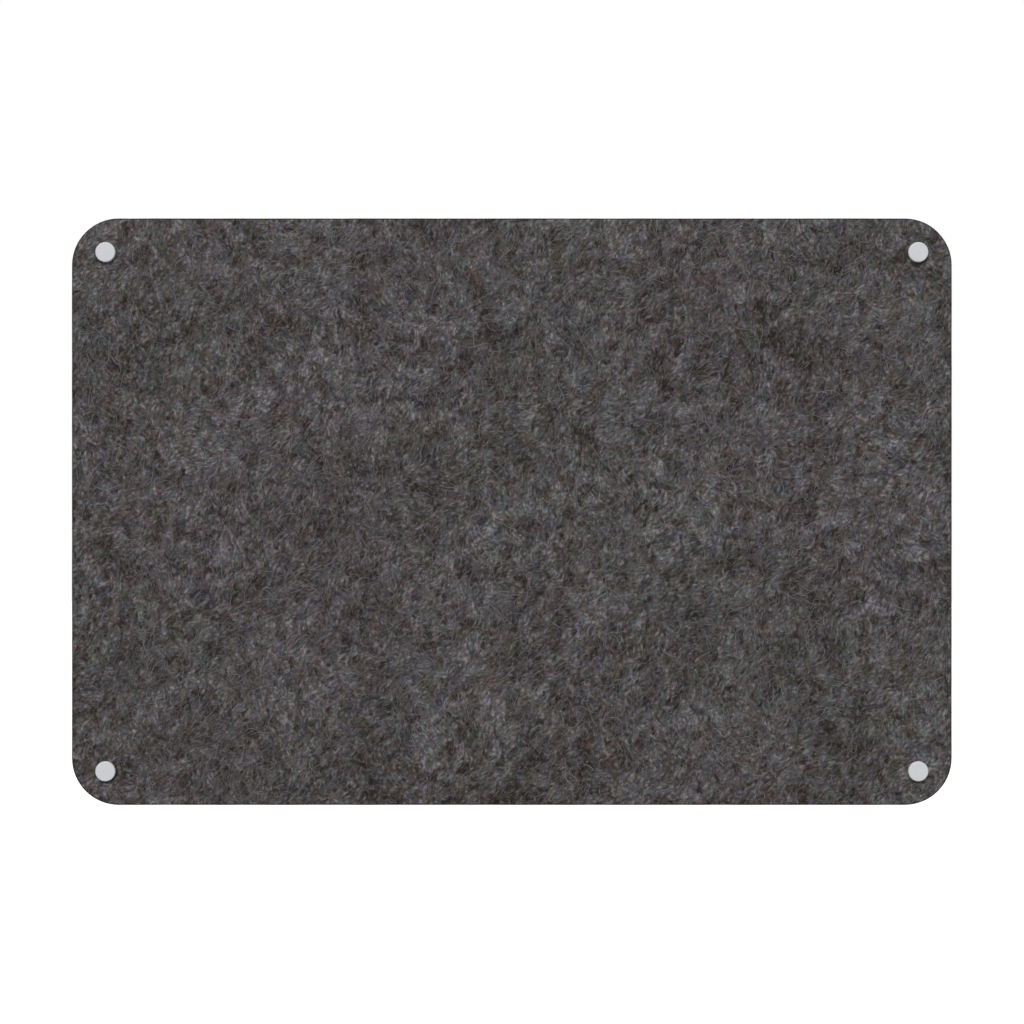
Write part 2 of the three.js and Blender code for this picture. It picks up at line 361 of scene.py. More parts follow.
# turn in degrees, length, width, colour, strength
HAIR_SHARES = (
    (50, 0.0150, 0.0042, FELT_WARM, 0.50),
    (100, 0.0130, 0.0044, FELT_RED, 0.45),
    (148, 0.0150, 0.0042, FELT_GREEN, 0.45),
    (20, 0.0150, 0.0044, FELT_BLUE, 0.45),
    (40, 0.0140, 0.0040, FELT_VIOLET, 0.78),
    (118, 0.0130, 0.0038, FELT_VIOLET, 0.72),
    (78, 0.0140, 0.0040, FELT_PALE, 0.80),
)
# turn in degrees, length, width, colour, strength: single hairs, seen only from close by
FINE_HAIR_SHARES = (
    (62, 0.0050, 0.0009, FELT_PALE, 0.42),
    (8, 0.0045, 0.0008, FELT_SOFT_DARK, 0.55),
    (112, 0.0050, 0.0009, FELT_WISP, 0.45),
)
HAIR_LINE_SHARE = 0.17
SHIFT_STEP = 0.37
print("the felt has", len(SOFT_STREAK_SHARES), "kinds of streak and", len(HAIR_SHARES), "of hair")

# %% Choose the sizes of clouds, bends, specks and tints
FELT_CLOUD_SIZE = 0.026
FELT_BROAD_CLOUD_SIZE = 0.10
FELT_CLOUD_CONTRAST = 2.15
FELT_BROAD_CLOUD_CONTRAST = 2.6
CLOUD_CURVE = 1.35
LIGHT_IN_DARK_PATCH = 0.17
LIGHT_IN_PALE_PATCH = 1.50
SPECK_LENGTH = 0.0038
SPECK_WIDTH = 0.0020
SPECK_SHIFT = 2.3
SPECK_LOW = 0.43
SPECK_HIGH = 0.72
SPECK_DARK = 0.74
SPECK_LIGHT = 1.58
FELT_BEND_SIZE = 0.012
FELT_BEND = 0.0055
COMBING = math.radians(65)
FELT_FLOW_SIZE = 0.06
FELT_FLOW_TURNS = 1.5
TINT_SIZE = 0.0065
TINT_CONTRAST = 4.2
TINT_BROAD_SIZE = 0.20
TINT_GREEN = (0.935, 1.025, 1.0, 1.0)
TINT_RED = (1.075, 0.975, 0.99, 1.0)
TINT_BROWN = (1.0, 1.0, 0.91, 1.0)
TINT_BLUE = (1.0, 1.0, 1.07, 1.0)
TINT_BROAD_GREEN = (0.985, 1.01, 0.99, 1.0)
TINT_BROAD_RED = (1.015, 0.99, 1.015, 1.0)
TINT_SHIFT = (3.1, 0.0, 1.7)

# %% Start the felt's material: bends and clouds
felt_material, tree, felt_shader = new_material("mottled_grey_felt")
place = place_on_piece(tree)
bending = noise_node(tree, place, METRE / FELT_BEND_SIZE)["Color"]
centred = vector_maths(tree, "SUBTRACT", bending, (MIDDLE, MIDDLE, MIDDLE))
bend = add_node(tree, "VectorMath", {0: centred, "Scale": FELT_BEND}, operation="SCALE")
bent = vector_maths(tree, "ADD", place, bend.outputs[0])
cloud = soft_cloud(tree, place, FELT_CLOUD_SIZE, FELT_CLOUD_CONTRAST)
broad_cloud = soft_cloud(tree, place, FELT_BROAD_CLOUD_SIZE, FELT_BROAD_CLOUD_CONTRAST)
both_clouds = maths(tree, "MULTIPLY", maths(tree, "ADD", cloud, broad_cloud), MIDDLE)
both_clouds = maths(tree, "POWER", both_clouds, CLOUD_CURVE)
values = {"Value": both_clouds, "To Min": LIGHT_IN_DARK_PATCH, "To Max": LIGHT_IN_PALE_PATCH}
patch_light = add_node(tree, "MapRange", values).outputs["Result"]
colour = mix_colours(tree, both_clouds, FELT_DARK, FELT_MID)
print("clouds are", FELT_CLOUD_SIZE, "m and", FELT_BROAD_CLOUD_SIZE, "m wide")


# %% Lay on the streaks and hairs
FELT_RELIEF_STREAKS = 2
FELT_RELIEF_HAIRS = 3


def combed_streak(length, width, shift):
    values = {"Vector": bent, "Flow": flow, "Length": length, "Width": width, "Shift": shift}
    return add_node(tree, "Group", values, node_tree=combed_group).outputs["Streak"]


def hair_family(number, turn, length, width):
    values = {
        "Vector": bent,
        "Turn": math.radians(turn),
        "Length": length,
        "Width": width,
        "Hair Share": HAIR_LINE_SHARE,
        "Shift": (number * SHIFT_STEP, 0.0, number * SHIFT_STEP),
    }
    return add_node(tree, "Group", values, node_tree=fibres_group).outputs["Hair"]


flow = maths(tree, "SUBTRACT", noise_node(tree, place, METRE / FELT_FLOW_SIZE)["Fac"], MIDDLE)
flow = maths(tree, "ADD", maths(tree, "MULTIPLY", flow, FELT_FLOW_TURNS), COMBING / math.pi)
relief = []
for length, width, shift, tint, low, full, strength in SOFT_STREAK_SHARES:
    showing = remap(tree, combed_streak(length, width, shift), low, full)
    share = maths(tree, "MULTIPLY", showing, strength)
    if tint != FELT_SOFT_DARK:
        share = maths(tree, "MULTIPLY", share, patch_light)
    colour = mix_colours(tree, share, colour, tint)
    if len(relief) < FELT_RELIEF_STREAKS:
        relief.append(showing)
for number, (turn, length, width, tint, strength) in enumerate(HAIR_SHARES):
    hair = hair_family(number + len(SOFT_STREAK_SHARES), turn, length, width)
    share = maths(tree, "MULTIPLY", maths(tree, "MULTIPLY", hair, strength), patch_light)
    colour = mix_colours(tree, share, colour, tint)
    if number < FELT_RELIEF_HAIRS:
        relief.append(hair)
for number, (turn, length, width, tint, strength) in enumerate(FINE_HAIR_SHARES):
    hair = hair_family(-1 - number, turn, length, width)
    colour = mix_colours(tree, maths(tree, "MULTIPLY", hair, strength), colour, tint)
    relief.append(hair)
print("layers that also stand up as relief:", len(relief))

# %% Add the specks and tints
fine = combed_streak(SPECK_LENGTH, SPECK_WIDTH, SPECK_SHIFT)
speck = remap(tree, fine, SPECK_LOW, SPECK_HIGH, SPECK_DARK, SPECK_LIGHT)
speck_colour = add_node(tree, "CombineColor", {0: speck, 1: speck, 2: speck}).outputs[0]
colour = mix_colours(tree, 1.0, colour, speck_colour, blend_type="MULTIPLY")
moved = vector_maths(tree, "ADD", place, TINT_SHIFT)
for spot, size, low_tint, high_tint in (
    (place, TINT_SIZE, TINT_GREEN, TINT_RED),
    (moved, TINT_SIZE, TINT_BROWN, TINT_BLUE),
    (moved, TINT_BROAD_SIZE, TINT_BROAD_GREEN, TINT_BROAD_RED),
):
    tint = mix_colours(tree, soft_cloud(tree, spot, size, TINT_CONTRAST), low_tint, high_tint)
    colour = mix_colours(tree, 1.0, colour, tint, blend_type="MULTIPLY")
print("felt nodes so far:", len(tree.nodes))

# %% Paint shade on the rim and layer the cut edge
RIM_SHADE_FROM = 0.0
RIM_SHADE_TO = 0.5
RIM_PAINTED_SHADE = 0.72
EDGE_STRAND_LENGTH = 0.012
EDGE_STRAND_THICKNESS = 0.0007
EDGE_STRAND_LOW = 0.40
EDGE_STRAND_HIGH = 0.66
SIDE_STARTS_AT = 0.6

# Painted shade: the rounded rims of the front and back are darkened towards the dark edge colour. On the
# cut edge the colour also lies in thin layers of fibre seen end on.
cut_edge_and_rim_shade = attribute(tree, "cut_edge_and_rim_shade")
rim = remap(tree, cut_edge_and_rim_shade, RIM_SHADE_FROM, RIM_SHADE_TO, 0.0, RIM_PAINTED_SHADE)
per_strand = (METRE / EDGE_STRAND_LENGTH, METRE / EDGE_STRAND_THICKNESS, METRE / EDGE_STRAND_LENGTH)
strands = noise_node(tree, vector_maths(tree, "MULTIPLY", bent, per_strand), detail=1.0)["Fac"]
on_side = remap(tree, cut_edge_and_rim_shade, SIDE_STARTS_AT, 1.0)
strand = maths(tree, "MULTIPLY", remap(tree, strands, EDGE_STRAND_LOW, EDGE_STRAND_HIGH), on_side)
edge_colour = mix_colours(tree, strand, FELT_EDGE_DARK_AND_PAINTED_RIM_SHADE, FELT_EDGE_LIGHT)
colour = mix_colours(tree, rim, colour, edge_colour)
print("felt nodes with the cut edge:", len(tree.nodes))

# %% Raise the relief and fill the shader
EDGE_STRAND_RELIEF = 2.0
FELT_RELIEF = 0.00025
FELT_RELIEF_STRENGTH = 0.6
FELT_SHADING = {
    "Roughness": 1.0,
    "Specular IOR Level": 0.15,
    "Sheen Weight": 0.08,
    "Sheen Roughness": 0.5,
}

height = maths(tree, "ADD", fine, maths(tree, "MULTIPLY", strand, EDGE_STRAND_RELIEF))
for part in relief:
    height = maths(tree, "ADD", height, part)
values = {"Strength": FELT_RELIEF_STRENGTH, "Distance": FELT_RELIEF, "Height": height}
bump = add_node(tree, "Bump", values)
fill_inputs(tree, felt_shader, {"Base Color": colour, "Normal": bump.outputs["Normal"], **FELT_SHADING})
print("felt material has", len(tree.nodes), "nodes")

# %% [markdown]
# ## The shape of the felt
# The sheet is a rounded rectangle 9 mm thick. A bevelled box would have a hard, even rim, while
# a cut felt edge is a little soft and shows its layers. So the front and back are grids whose
# rows follow the rounded corners, and rings of points join them over the rounded rims and the
# layered edge. The front is lifted by a slow unevenness that dies out at the caps.

# %% Measure the felt's outline
CORNER_RADIUS = 0.040
RIM_ROUND = 0.0008
RIM_BAND = 0.0026
RIM_BAND_SHADE_SHARE = 0.5
RIM_BAND_STEPS = 3
RIM_ROUND_STEPS = 5
EDGE_LAYER_STEPS = 16
CORNER_ROWS = 16
STRAIGHT_ROWS = 110
COLUMNS = 196
FRONT_LIFT = 0.00014
LIFT_MIDDLE_SHARE = 0.5
LIFT_SWING_SHARE = 0.6
LIFT_RIPPLE_SHARE = 0.5
CALM_INNER = 0.008
CALM_OUTER = 0.022
EDGE_LAYER_DEPTH = 0.00016
LIFT_WAVE = 0.045
LIFT_RIPPLE = 0.011
EDGE_LAYER_SIZE = 0.0012
EDGE_LAYER_LENGTH = 0.02
EDGE_LAYER_SWING_SHARE = 0.6

corner_across = BOARD_WIDTH / 2 - CORNER_RADIUS
corner_up = BOARD_HEIGHT / 2 - CORNER_RADIUS
fixings = {}
for corner in ("top_left", "top_right", "bottom_left", "bottom_right"):
    low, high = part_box("cover_cap_" + corner)
    fixings[corner] = Vector((low.x + high.x, 0, low.z + high.z)) / 2
print("the fixings are at", {name: tuple(round(v, 4) for v in at) for name, at in fixings.items()})


# %% Make the felt's grids
def felt_rows(inset):
    """Each row's height, its half width and the way out of the board at its right end."""
    radius = CORNER_RADIUS - inset
    angles = np.linspace(0, math.pi / 2, CORNER_ROWS + 1)
    straight = np.linspace(-corner_up, corner_up, STRAIGHT_ROWS + 1)[1:-1]
    arc_up = corner_up + radius * np.sin(angles)
    arc_across = corner_across + radius * np.cos(angles)
    heights = np.concatenate([-arc_up[::-1], straight, arc_up])
    middle = np.full(len(straight), corner_across + radius)
    halves = np.concatenate([arc_across[::-1], middle, arc_across])
    out_across = np.concatenate([np.cos(angles)[::-1], np.ones(len(straight)), np.cos(angles)])
    out_up = np.concatenate([-np.sin(angles)[::-1], np.zeros(len(straight)), np.sin(angles)])
    return heights, halves, out_across, out_up


def calm_near_fixings(across, up):
    """0 at a fixing, 1 where the felt is free to be uneven."""
    calm = 1.0
    for at in fixings.values():
        distance = math.hypot(across - at.x, up - at.z)
        calm = min(calm, max(0.0, (distance - CALM_INNER) / (CALM_OUTER - CALM_INNER)))
    return calm


def front_lift(across, up):
    spot = Vector((across, 0, up))
    wave = noise.noise(spot / LIFT_WAVE) + LIFT_RIPPLE_SHARE * noise.noise(spot / LIFT_RIPPLE)
    share = max(0.0, LIFT_MIDDLE_SHARE + LIFT_SWING_SHARE * wave)
    return FRONT_LIFT * share * calm_near_fixings(across, up)


heights, halves, out_across, out_up = felt_rows(RIM_BAND)
ROWS = len(heights)
shares = np.linspace(-1, 1, COLUMNS + 1)
grid = [(half * share, height) for height, half in zip(heights, halves) for share in shares]
front_points = [(x, FELT_FRONT - front_lift(x, z), z) for x, z in grid]
back_points = [(x, FELT_BACK, z) for x, z in grid]


def grid_index(row, column):
    return row * (COLUMNS + 1) + column


print("each face of the felt is a grid of", ROWS, "by", COLUMNS + 1, "points")

# %% Ring the grids with the rim and the cut edge
# The rim of the grid in one loop: along the bottom, up the right, along the top, down the left.
loop = [(0, column, 0.0, -1.0) for column in range(COLUMNS)]
loop += [(row, COLUMNS, out_across[row], out_up[row]) for row in range(ROWS - 1)]
loop += [(ROWS - 1, column, 0.0, 1.0) for column in range(COLUMNS, 0, -1)]
loop += [(row, 0, -out_across[row], out_up[row]) for row in range(ROWS - 1, 0, -1)]

# Each ring: how far out from the grid, height, and how much it belongs to the cut edge, which also sets the
# painted shade on the rim.
rings = []
for step in range(1, RIM_BAND_STEPS + 1):
    darker = RIM_BAND_SHADE_SHARE if step == RIM_BAND_STEPS else 0.0
    rings.append(((RIM_BAND - RIM_ROUND) * step / RIM_BAND_STEPS, FELT_FRONT, darker))
flat_out = RIM_BAND - RIM_ROUND
for step in range(1, RIM_ROUND_STEPS + 1):
    angle = math.pi / 2 * step / RIM_ROUND_STEPS
    out = flat_out + RIM_ROUND * math.sin(angle)
    cut = RIM_BAND_SHADE_SHARE + (1 - RIM_BAND_SHADE_SHARE) * step / RIM_ROUND_STEPS
    rings.append((out, FELT_FRONT + RIM_ROUND * (1 - math.cos(angle)), cut))
for step in range(1, EDGE_LAYER_STEPS):
    share = step / EDGE_LAYER_STEPS
    depth = FELT_FRONT + RIM_ROUND + (FELT_BACK - FELT_FRONT - 2 * RIM_ROUND) * share
    rings.append((RIM_BAND, depth, 1.0))
front_rings = rings[: RIM_BAND_STEPS + RIM_ROUND_STEPS]
for out, depth, cut in reversed(front_rings):
    rings.append((out, FELT_FRONT + FELT_BACK - depth, cut))


def edge_layers(x, y, z):
    """The cut fibres stand in uneven layers, a little in and out."""
    along = Vector((x / EDGE_LAYER_LENGTH, y / EDGE_LAYER_SIZE, z / EDGE_LAYER_LENGTH))
    return EDGE_LAYER_DEPTH * noise.noise(along) * EDGE_LAYER_SWING_SHARE


points = front_points + back_points
cut_values = [0.0] * len(points)
for out, depth, cut in rings:
    for row, column, out_x, out_z in loop:
        x, z = grid[grid_index(row, column)]
        reach = out + cut * edge_layers(x, depth, z)
        points.append((x + out_x * reach, depth, z + out_z * reach))
        cut_values.append(cut)
print("felt points:", len(points))

# %% [markdown]
# The colour of the sheet can be baked to a square picture. Left to itself, an unwrapping tool
# gives the back as much room as the front. Here the front gets the full width of the square, the
# back a quarter of that area, and the narrow edge lies in four strips below.

# %% Lay the two faces out flat
MAP_FRONT = (0.005, 0.34, 0.98, 0.655)
MAP_BACK = (0.005, 0.005, 0.49, 0.3275)
MAP_STRIP_LEFT = 0.51
MAP_STRIP_WIDTH = 0.48
MAP_STRIP_LOW = 0.005
MAP_STRIP_HEIGHT = 0.066
MAP_STRIP_STEP = 0.072
MAP_STRIPS = 4
MAP_HOLE_LOW = 0.30
MAP_HOLE_HEIGHT = 0.025
MAP_HOLE_SHARE = 0.9
RIM_RINGS_ON_FACE = 2
FRONT_RING_COUNT = RIM_BAND_STEPS + RIM_RINGS_ON_FACE


def flat_place(box, point):
    left, low, wide, tall = box
    across = point[0] / BOARD_WIDTH + MIDDLE
    up = point[2] / BOARD_HEIGHT + MIDDLE
    return left + wide * across, low + tall * up


faces = []
face_maps = []
grid_size = len(grid)
for row in range(ROWS - 1):
    for column in range(COLUMNS):
        corners = [
            grid_index(row, column),
            grid_index(row, column + 1),
            grid_index(row + 1, column + 1),
            grid_index(row + 1, column),
        ]
        faces.append(corners)
        face_maps.append([flat_place(MAP_FRONT, points[i]) for i in corners])
        behind = [grid_size + i for i in reversed(corners)]
        faces.append(behind)
        face_maps.append([flat_place(MAP_BACK, points[i]) for i in behind])
print("faces of the two grids:", len(faces))

# %% Join the rings from the front to the back
loop_size = len(loop)
ring_starts = [2 * grid_size + number * loop_size for number in range(len(rings))]
front_loop = [grid_index(row, column) for row, column, _, _ in loop]
back_loop = [grid_size + i for i in front_loop]
ring_loops = [front_loop]
ring_loops += [[start + i for i in range(loop_size)] for start in ring_starts]
ring_loops += [back_loop]
band_count = len(ring_loops) - 1
strip_size = math.ceil(loop_size / MAP_STRIPS)
for band in range(band_count):
    for i in range(loop_size):
        j = (i + 1) % loop_size
        near, far = ring_loops[band], ring_loops[band + 1]
        corners = [near[i], far[i], far[j], near[j]]
        faces.append(corners)
        if band < FRONT_RING_COUNT:
            face_maps.append([flat_place(MAP_FRONT, points[k]) for k in corners])
        elif band >= band_count - FRONT_RING_COUNT:
            face_maps.append([flat_place(MAP_BACK, points[k]) for k in corners])
        else:
            strip, along = divmod(i, strip_size)
            strip_low = MAP_STRIP_LOW + strip * MAP_STRIP_STEP
            strip_bands = band_count - 2 * FRONT_RING_COUNT
            spots = []
            for step, ring in ((0, 0), (0, 1), (1, 1), (1, 0)):
                across = (along + step) / strip_size
                up = (band + ring - FRONT_RING_COUNT) / strip_bands
                spots.append((MAP_STRIP_LEFT + MAP_STRIP_WIDTH * across, strip_low + MAP_STRIP_HEIGHT * up))
            face_maps.append(spots)
print("bands of faces round the edge:", band_count)


# %% Turn the points and faces into the sheet
def mesh_from(name, points, faces, face_maps=None):
    mesh = bpy.data.meshes.new(name)
    mesh.from_pydata(points, [], faces)
    if face_maps is not None:
        flat = mesh.uv_layers.new(name="OFBake")
        values = [value for face in face_maps for spot in face for value in spot]
        flat.uv.foreach_set("vector", values)
    mesh.update()
    return mesh


def store_values(mesh, name, values):
    """Keeps one number per point with the mesh, for its material to read."""
    mesh.attributes.new(name, "FLOAT", "POINT").data.foreach_set("value", values)


def piece_from(name, mesh, material=None):
    piece = bpy.data.objects.new(name, mesh)
    bpy.context.scene.collection.objects.link(piece)
    mesh.materials.clear()
    if material is not None:
        mesh.materials.append(material)
    return piece


def triangle_count(mesh):
    return sum(len(face.vertices) - 2 for face in mesh.polygons)


felt_mesh = mesh_from("felt_sheet", points, faces, face_maps)
store_values(felt_mesh, "cut_edge_and_rim_shade", cut_values)
felt_sheet = piece_from("felt_sheet", felt_mesh, felt_material)
print("felt faces:", len(faces))

# %% [markdown]
# ## Holes and other cuts
# A hole that is modelled point by point would break the tidy rows of the grid. A Boolean
# modifier takes a drill's shape away from the sheet, and the result is kept as a plain mesh. The
# same helper later joins ribs to the spacers and cuts the slots of plugs and screws.

# %% Helpers that cut and join solids
def combined(piece, tool, operation):
    change = piece.modifiers.new(operation.lower(), "BOOLEAN")
    change.operation = operation
    change.solver = "MANIFOLD"
    change.object = tool
    ready = bpy.context.evaluated_depsgraph_get()
    ready.update()
    mesh = bpy.data.meshes.new_from_object(piece.evaluated_get(ready))
    piece.modifiers.remove(change)
    old = piece.data
    piece.data = mesh
    bpy.data.meshes.remove(old)
    tool_mesh = tool.data
    bpy.data.objects.remove(tool)
    bpy.data.meshes.remove(tool_mesh)
    return piece


def smooth_with_sharp_edges(mesh, limit):
    """Smooth shading, but with a crisp line wherever two faces meet at more than the limit."""
    edit = bmesh.new()
    edit.from_mesh(mesh)
    for face in edit.faces:
        face.smooth = True
    for edge in edit.edges:
        edge.smooth = len(edge.link_faces) == 2 and edge.calc_face_angle(0) < limit
    edit.to_mesh(mesh)
    edit.free()


def finished_mesh(piece, limit):
    """The mesh of a shape that was only there to be cut and joined, with its edges made crisp."""
    mesh = piece.data
    bpy.data.objects.remove(piece)
    smooth_with_sharp_edges(mesh, limit)
    return mesh


# %% Drill the felt for the four bushes
HOLE_RADIUS = 0.00485
HOLE_SIDES = 48
DRILL_OVERRUN = 0.002
SHARP_ANGLE = math.radians(40)

drill_points = []
drill_faces = []
drill_maps = []
hole_room = MAP_STRIP_WIDTH / MAP_STRIPS
hole_top = MAP_HOLE_LOW + MAP_HOLE_HEIGHT
for number, at in enumerate(fixings.values()):
    start = len(drill_points)
    end = start + HOLE_SIDES
    for y in (FELT_FRONT - DRILL_OVERRUN, FELT_BACK + DRILL_OVERRUN):
        for side in range(HOLE_SIDES):
            angle = 2 * math.pi * side / HOLE_SIDES
            across = at.x + HOLE_RADIUS * math.cos(angle)
            drill_points.append((across, y, at.z + HOLE_RADIUS * math.sin(angle)))
    low = MAP_STRIP_LEFT + hole_room * number
    for side in range(HOLE_SIDES):
        after = (side + 1) % HOLE_SIDES
        drill_faces.append([start + side, end + side, end + after, start + after])
        left, right = [low + hole_room * MAP_HOLE_SHARE * step / HOLE_SIDES for step in (side, side + 1)]
        spots = [(left, MAP_HOLE_LOW), (left, hole_top), (right, hole_top), (right, MAP_HOLE_LOW)]
        drill_maps.append(spots)
    drill_faces.append(list(range(start, end)))
    drill_faces.append(list(reversed(range(end, end + HOLE_SIDES))))
    drill_maps += [[(0.0, 0.0)] * HOLE_SIDES] * 2
drill_mesh = mesh_from("felt_drills", drill_points, drill_faces, drill_maps)
drill_mesh.validate()
drills = piece_from("felt_drills", drill_mesh, felt_material)
combined(felt_sheet, drills, "DIFFERENCE")
smooth_with_sharp_edges(felt_sheet.data, SHARP_ANGLE)
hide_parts("felt_panel")
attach(felt_sheet, "board")
print("felt triangles:", triangle_count(felt_sheet.data))

# %% [markdown]
# ## Loose fibres
# Close up, the felt's face isn't flat: matted strands and single hairs lie on it with their ends
# pulled in. Blender's hair would render well but isn't kept as a mesh, so each fibre is a thin
# three-sided tube along a curved path. Thousands are made at once with arrays, from a seeded
# generator, so that each run gives the same ones. One value per fibre picks its colour.

# %% Choose the fibres' colours
FIBRE_COLOUR_SHARES = (
    (0.00, screen_colour(36, 29, 24)),
    (0.12, screen_colour(45, 38, 34)),
    (0.25, screen_colour(64, 58, 55)),
    (0.40, screen_colour(82, 79, 81)),
    (0.55, screen_colour(96, 95, 100)),
    (0.66, screen_colour(121, 120, 125)),
    (0.75, screen_colour(95, 85, 78)),
    (0.84, screen_colour(94, 74, 72)),
    (0.92, screen_colour(73, 79, 68)),
    (1.00, screen_colour(75, 78, 94)),
)
FLANK_PAINTED_SHADE = 0.25
FIBRE_SHADING = {"Roughness": 0.9, "Specular IOR Level": 0.2, "Sheen Weight": 0.02}

fibre_material, tree, fibre_shader = new_material("loose_felt_fibre")
palette = add_node(tree, "ValToRGB", {"Fac": attribute(tree, "fibre_tint")})
ramp = palette.color_ramp
ramp.elements[0].position, ramp.elements[0].color = FIBRE_COLOUR_SHARES[0]
ramp.elements[1].position, ramp.elements[1].color = FIBRE_COLOUR_SHARES[-1]
for position, tint in FIBRE_COLOUR_SHARES[1:-1]:
    ramp.elements.new(position).color = tint
# Painted shade: each fibre's two flanks are blended towards the felt's mid colour, so the strand looks
# round, brighter on its ridge and dimmer at its sides, and fades into the felt.
flank_share = maths(tree, "MULTIPLY", attribute(tree, "fibre_flank"), FLANK_PAINTED_SHADE)
fibre_colour = mix_colours(tree, flank_share, palette.outputs["Color"], FELT_MID)
fill_inputs(tree, fibre_shader, {"Base Color": fibre_colour, **FIBRE_SHADING})
print("the loose fibres have", len(FIBRE_COLOUR_SHARES), "colours")

# %% Helpers that make many fibres at once
TINT_CELLS = 32
CELL_COUNT = TINT_CELLS * TINT_CELLS
CELL_MARGIN = 0.1
SECTION_SIDES = 3
TIP_WIDTH_SHARE = 0.25
TIP_CUT_SHARE = 0.04
TAPER_CURVE = 0.6


def fibre_piece(name, paths, sideways, outward, half_widths, thicknesses, tints):
    """One mesh of tubes. Paths are count x steps x 3, and the rest has one entry per fibre or step."""
    count, steps = paths.shape[:2]
    along = np.clip(np.linspace(0, 1, steps), TIP_CUT_SHARE, 1 - TIP_CUT_SHARE)
    taper = TIP_WIDTH_SHARE + (1 - TIP_WIDTH_SHARE) * np.sin(np.pi * along) ** TAPER_CURVE
    taper = taper[None, :, None]
    wide = sideways * half_widths[:, None, None] * taper
    thick = outward * thicknesses[:, None, None] * taper
    sections = np.stack([paths - wide, paths + thick, paths + wide], axis=2)
    points = sections.reshape(-1, 3)
    first = (np.arange(count) * steps * SECTION_SIDES)[:, None, None]
    ring = (np.arange(steps - 1) * SECTION_SIDES)[None, :, None]
    side = np.arange(SECTION_SIDES)[None, None, :]
    after = (side + 1) % SECTION_SIDES
    here = first + ring
    quads = np.stack(
        [here + side, here + after, here + SECTION_SIDES + after, here + SECTION_SIDES + side], axis=-1
    ).reshape(-1, 4)
    start = first[:, 0, 0]
    last = start + (steps - 1) * SECTION_SIDES
    ends = np.concatenate([
        np.stack([start, start + 2, start + 1], axis=-1),
        np.stack([last, last + 1, last + 2], axis=-1),
    ])
    corners = np.concatenate([quads.reshape(-1), ends.reshape(-1)])
    sizes = np.concatenate([np.full(len(quads), 4), np.full(len(ends), 3)])
    starts = np.concatenate([[0], np.cumsum(sizes)[:-1]])
    mesh = bpy.data.meshes.new(name)
    mesh.vertices.add(len(points))
    mesh.vertices.foreach_set("co", points.reshape(-1))
    mesh.loops.add(len(corners))
    mesh.loops.foreach_set("vertex_index", corners)
    mesh.polygons.add(len(sizes))
    mesh.polygons.foreach_set("loop_start", starts)
    mesh.polygons.foreach_set("loop_total", sizes)
    mesh.polygons.foreach_set("use_smooth", np.ones(len(sizes), bool))
    mesh.update(calc_edges=True)
    cells = np.minimum((tints * CELL_COUNT).astype(int), CELL_COUNT - 1)
    store_values(mesh, "fibre_tint", np.repeat((cells + MIDDLE) / CELL_COUNT, steps * SECTION_SIDES))
    store_values(mesh, "fibre_flank", np.tile((1.0, 0.0, 1.0), count * steps))
    fill_cells(mesh, cells, count, steps)
    return piece_from(name, mesh, fibre_material)


def fill_cells(mesh, cells, count, steps):
    """Lays every fibre's faces in the square of the map that belongs to its colour."""
    cell_left = (cells % TINT_CELLS)[:, None, None, None]
    cell_low = (cells // TINT_CELLS)[:, None, None, None]
    room = 1 - 2 * CELL_MARGIN
    step = np.arange(steps - 1)[None, :, None, None]
    side = np.arange(SECTION_SIDES)[None, None, :, None]
    step_more = np.array([0, 0, 1, 1])[None, None, None, :]
    side_more = np.array([0, 1, 1, 0])[None, None, None, :]
    across = cell_left + CELL_MARGIN + room * (step + step_more) / (steps - 1)
    up = cell_low + CELL_MARGIN + room * (side + side_more) / SECTION_SIDES
    shape = (count, steps - 1, SECTION_SIDES, 4)
    quads = np.stack([np.broadcast_to(across, shape), np.broadcast_to(up, shape)], axis=-1)
    far = 1 - CELL_MARGIN
    tip = np.array([[CELL_MARGIN, CELL_MARGIN], [MIDDLE, far], [far, CELL_MARGIN]])
    base = np.stack([cells % TINT_CELLS, cells // TINT_CELLS], axis=-1)[:, None, :]
    tips = base + tip[None, :, :]
    spots = np.concatenate([quads.reshape(-1, 2), tips.reshape(-1, 2), tips.reshape(-1, 2)]) / TINT_CELLS
    flat = mesh.uv_layers.new(name="OFBake")
    flat.uv.foreach_set("vector", spots.reshape(-1))


def inside_board(x, z, margin):
    over_x = np.maximum(np.abs(x) - corner_across, 0)
    over_z = np.maximum(np.abs(z) - corner_up, 0)
    return np.hypot(over_x, over_z) < CORNER_RADIUS - margin


def clear_of_fixings(x, z, room):
    clear = np.ones(x.shape, bool)
    for at in fixings.values():
        clear &= np.hypot(x - at.x, z - at.z) > room
    return clear


# %% Lay fibres on the front and the back
FIBRE_EDGE_MARGIN = 0.0014
FIBRE_FIXING_ROOM = 0.0105
END_SINK = 0.00012
RISE_CURVE = 0.5
RISE_SHARE = 0.5
FIBRE_BEND = 0.75
WIGGLE = 0.35
PATCH_SIZE = 0.024
PATCH_BROAD_SIZE = 0.085
PATCH_SWING = 1.8
LONG_FIBRE_BIAS = 2.0
FLOW_SIZE = 0.045
FLOW_TURN = 0.75
FLOW_LOOSENESS = 0.60
FIBRE_SPARSE = 0.15
FIBRE_DARK_SHARE = 0.22


def patch_at(x, z):
    """How thick the lighter fibres lie at a place, from 0 to 1, in slow uneven patches."""
    spot = Vector((x, 0, z))
    value = noise.noise(spot / PATCH_SIZE) + noise.noise(spot / PATCH_BROAD_SIZE)
    return min(1.0, max(0.0, MIDDLE + PATCH_SWING * value / 2))


def flow_at(x, z):
    """Which way the fibres lie at a place: the combing of the wool turns slowly over the sheet."""
    return COMBING + math.pi * FLOW_TURN * noise.noise(Vector((x, FLOW_SIZE, z)) / FLOW_SIZE)


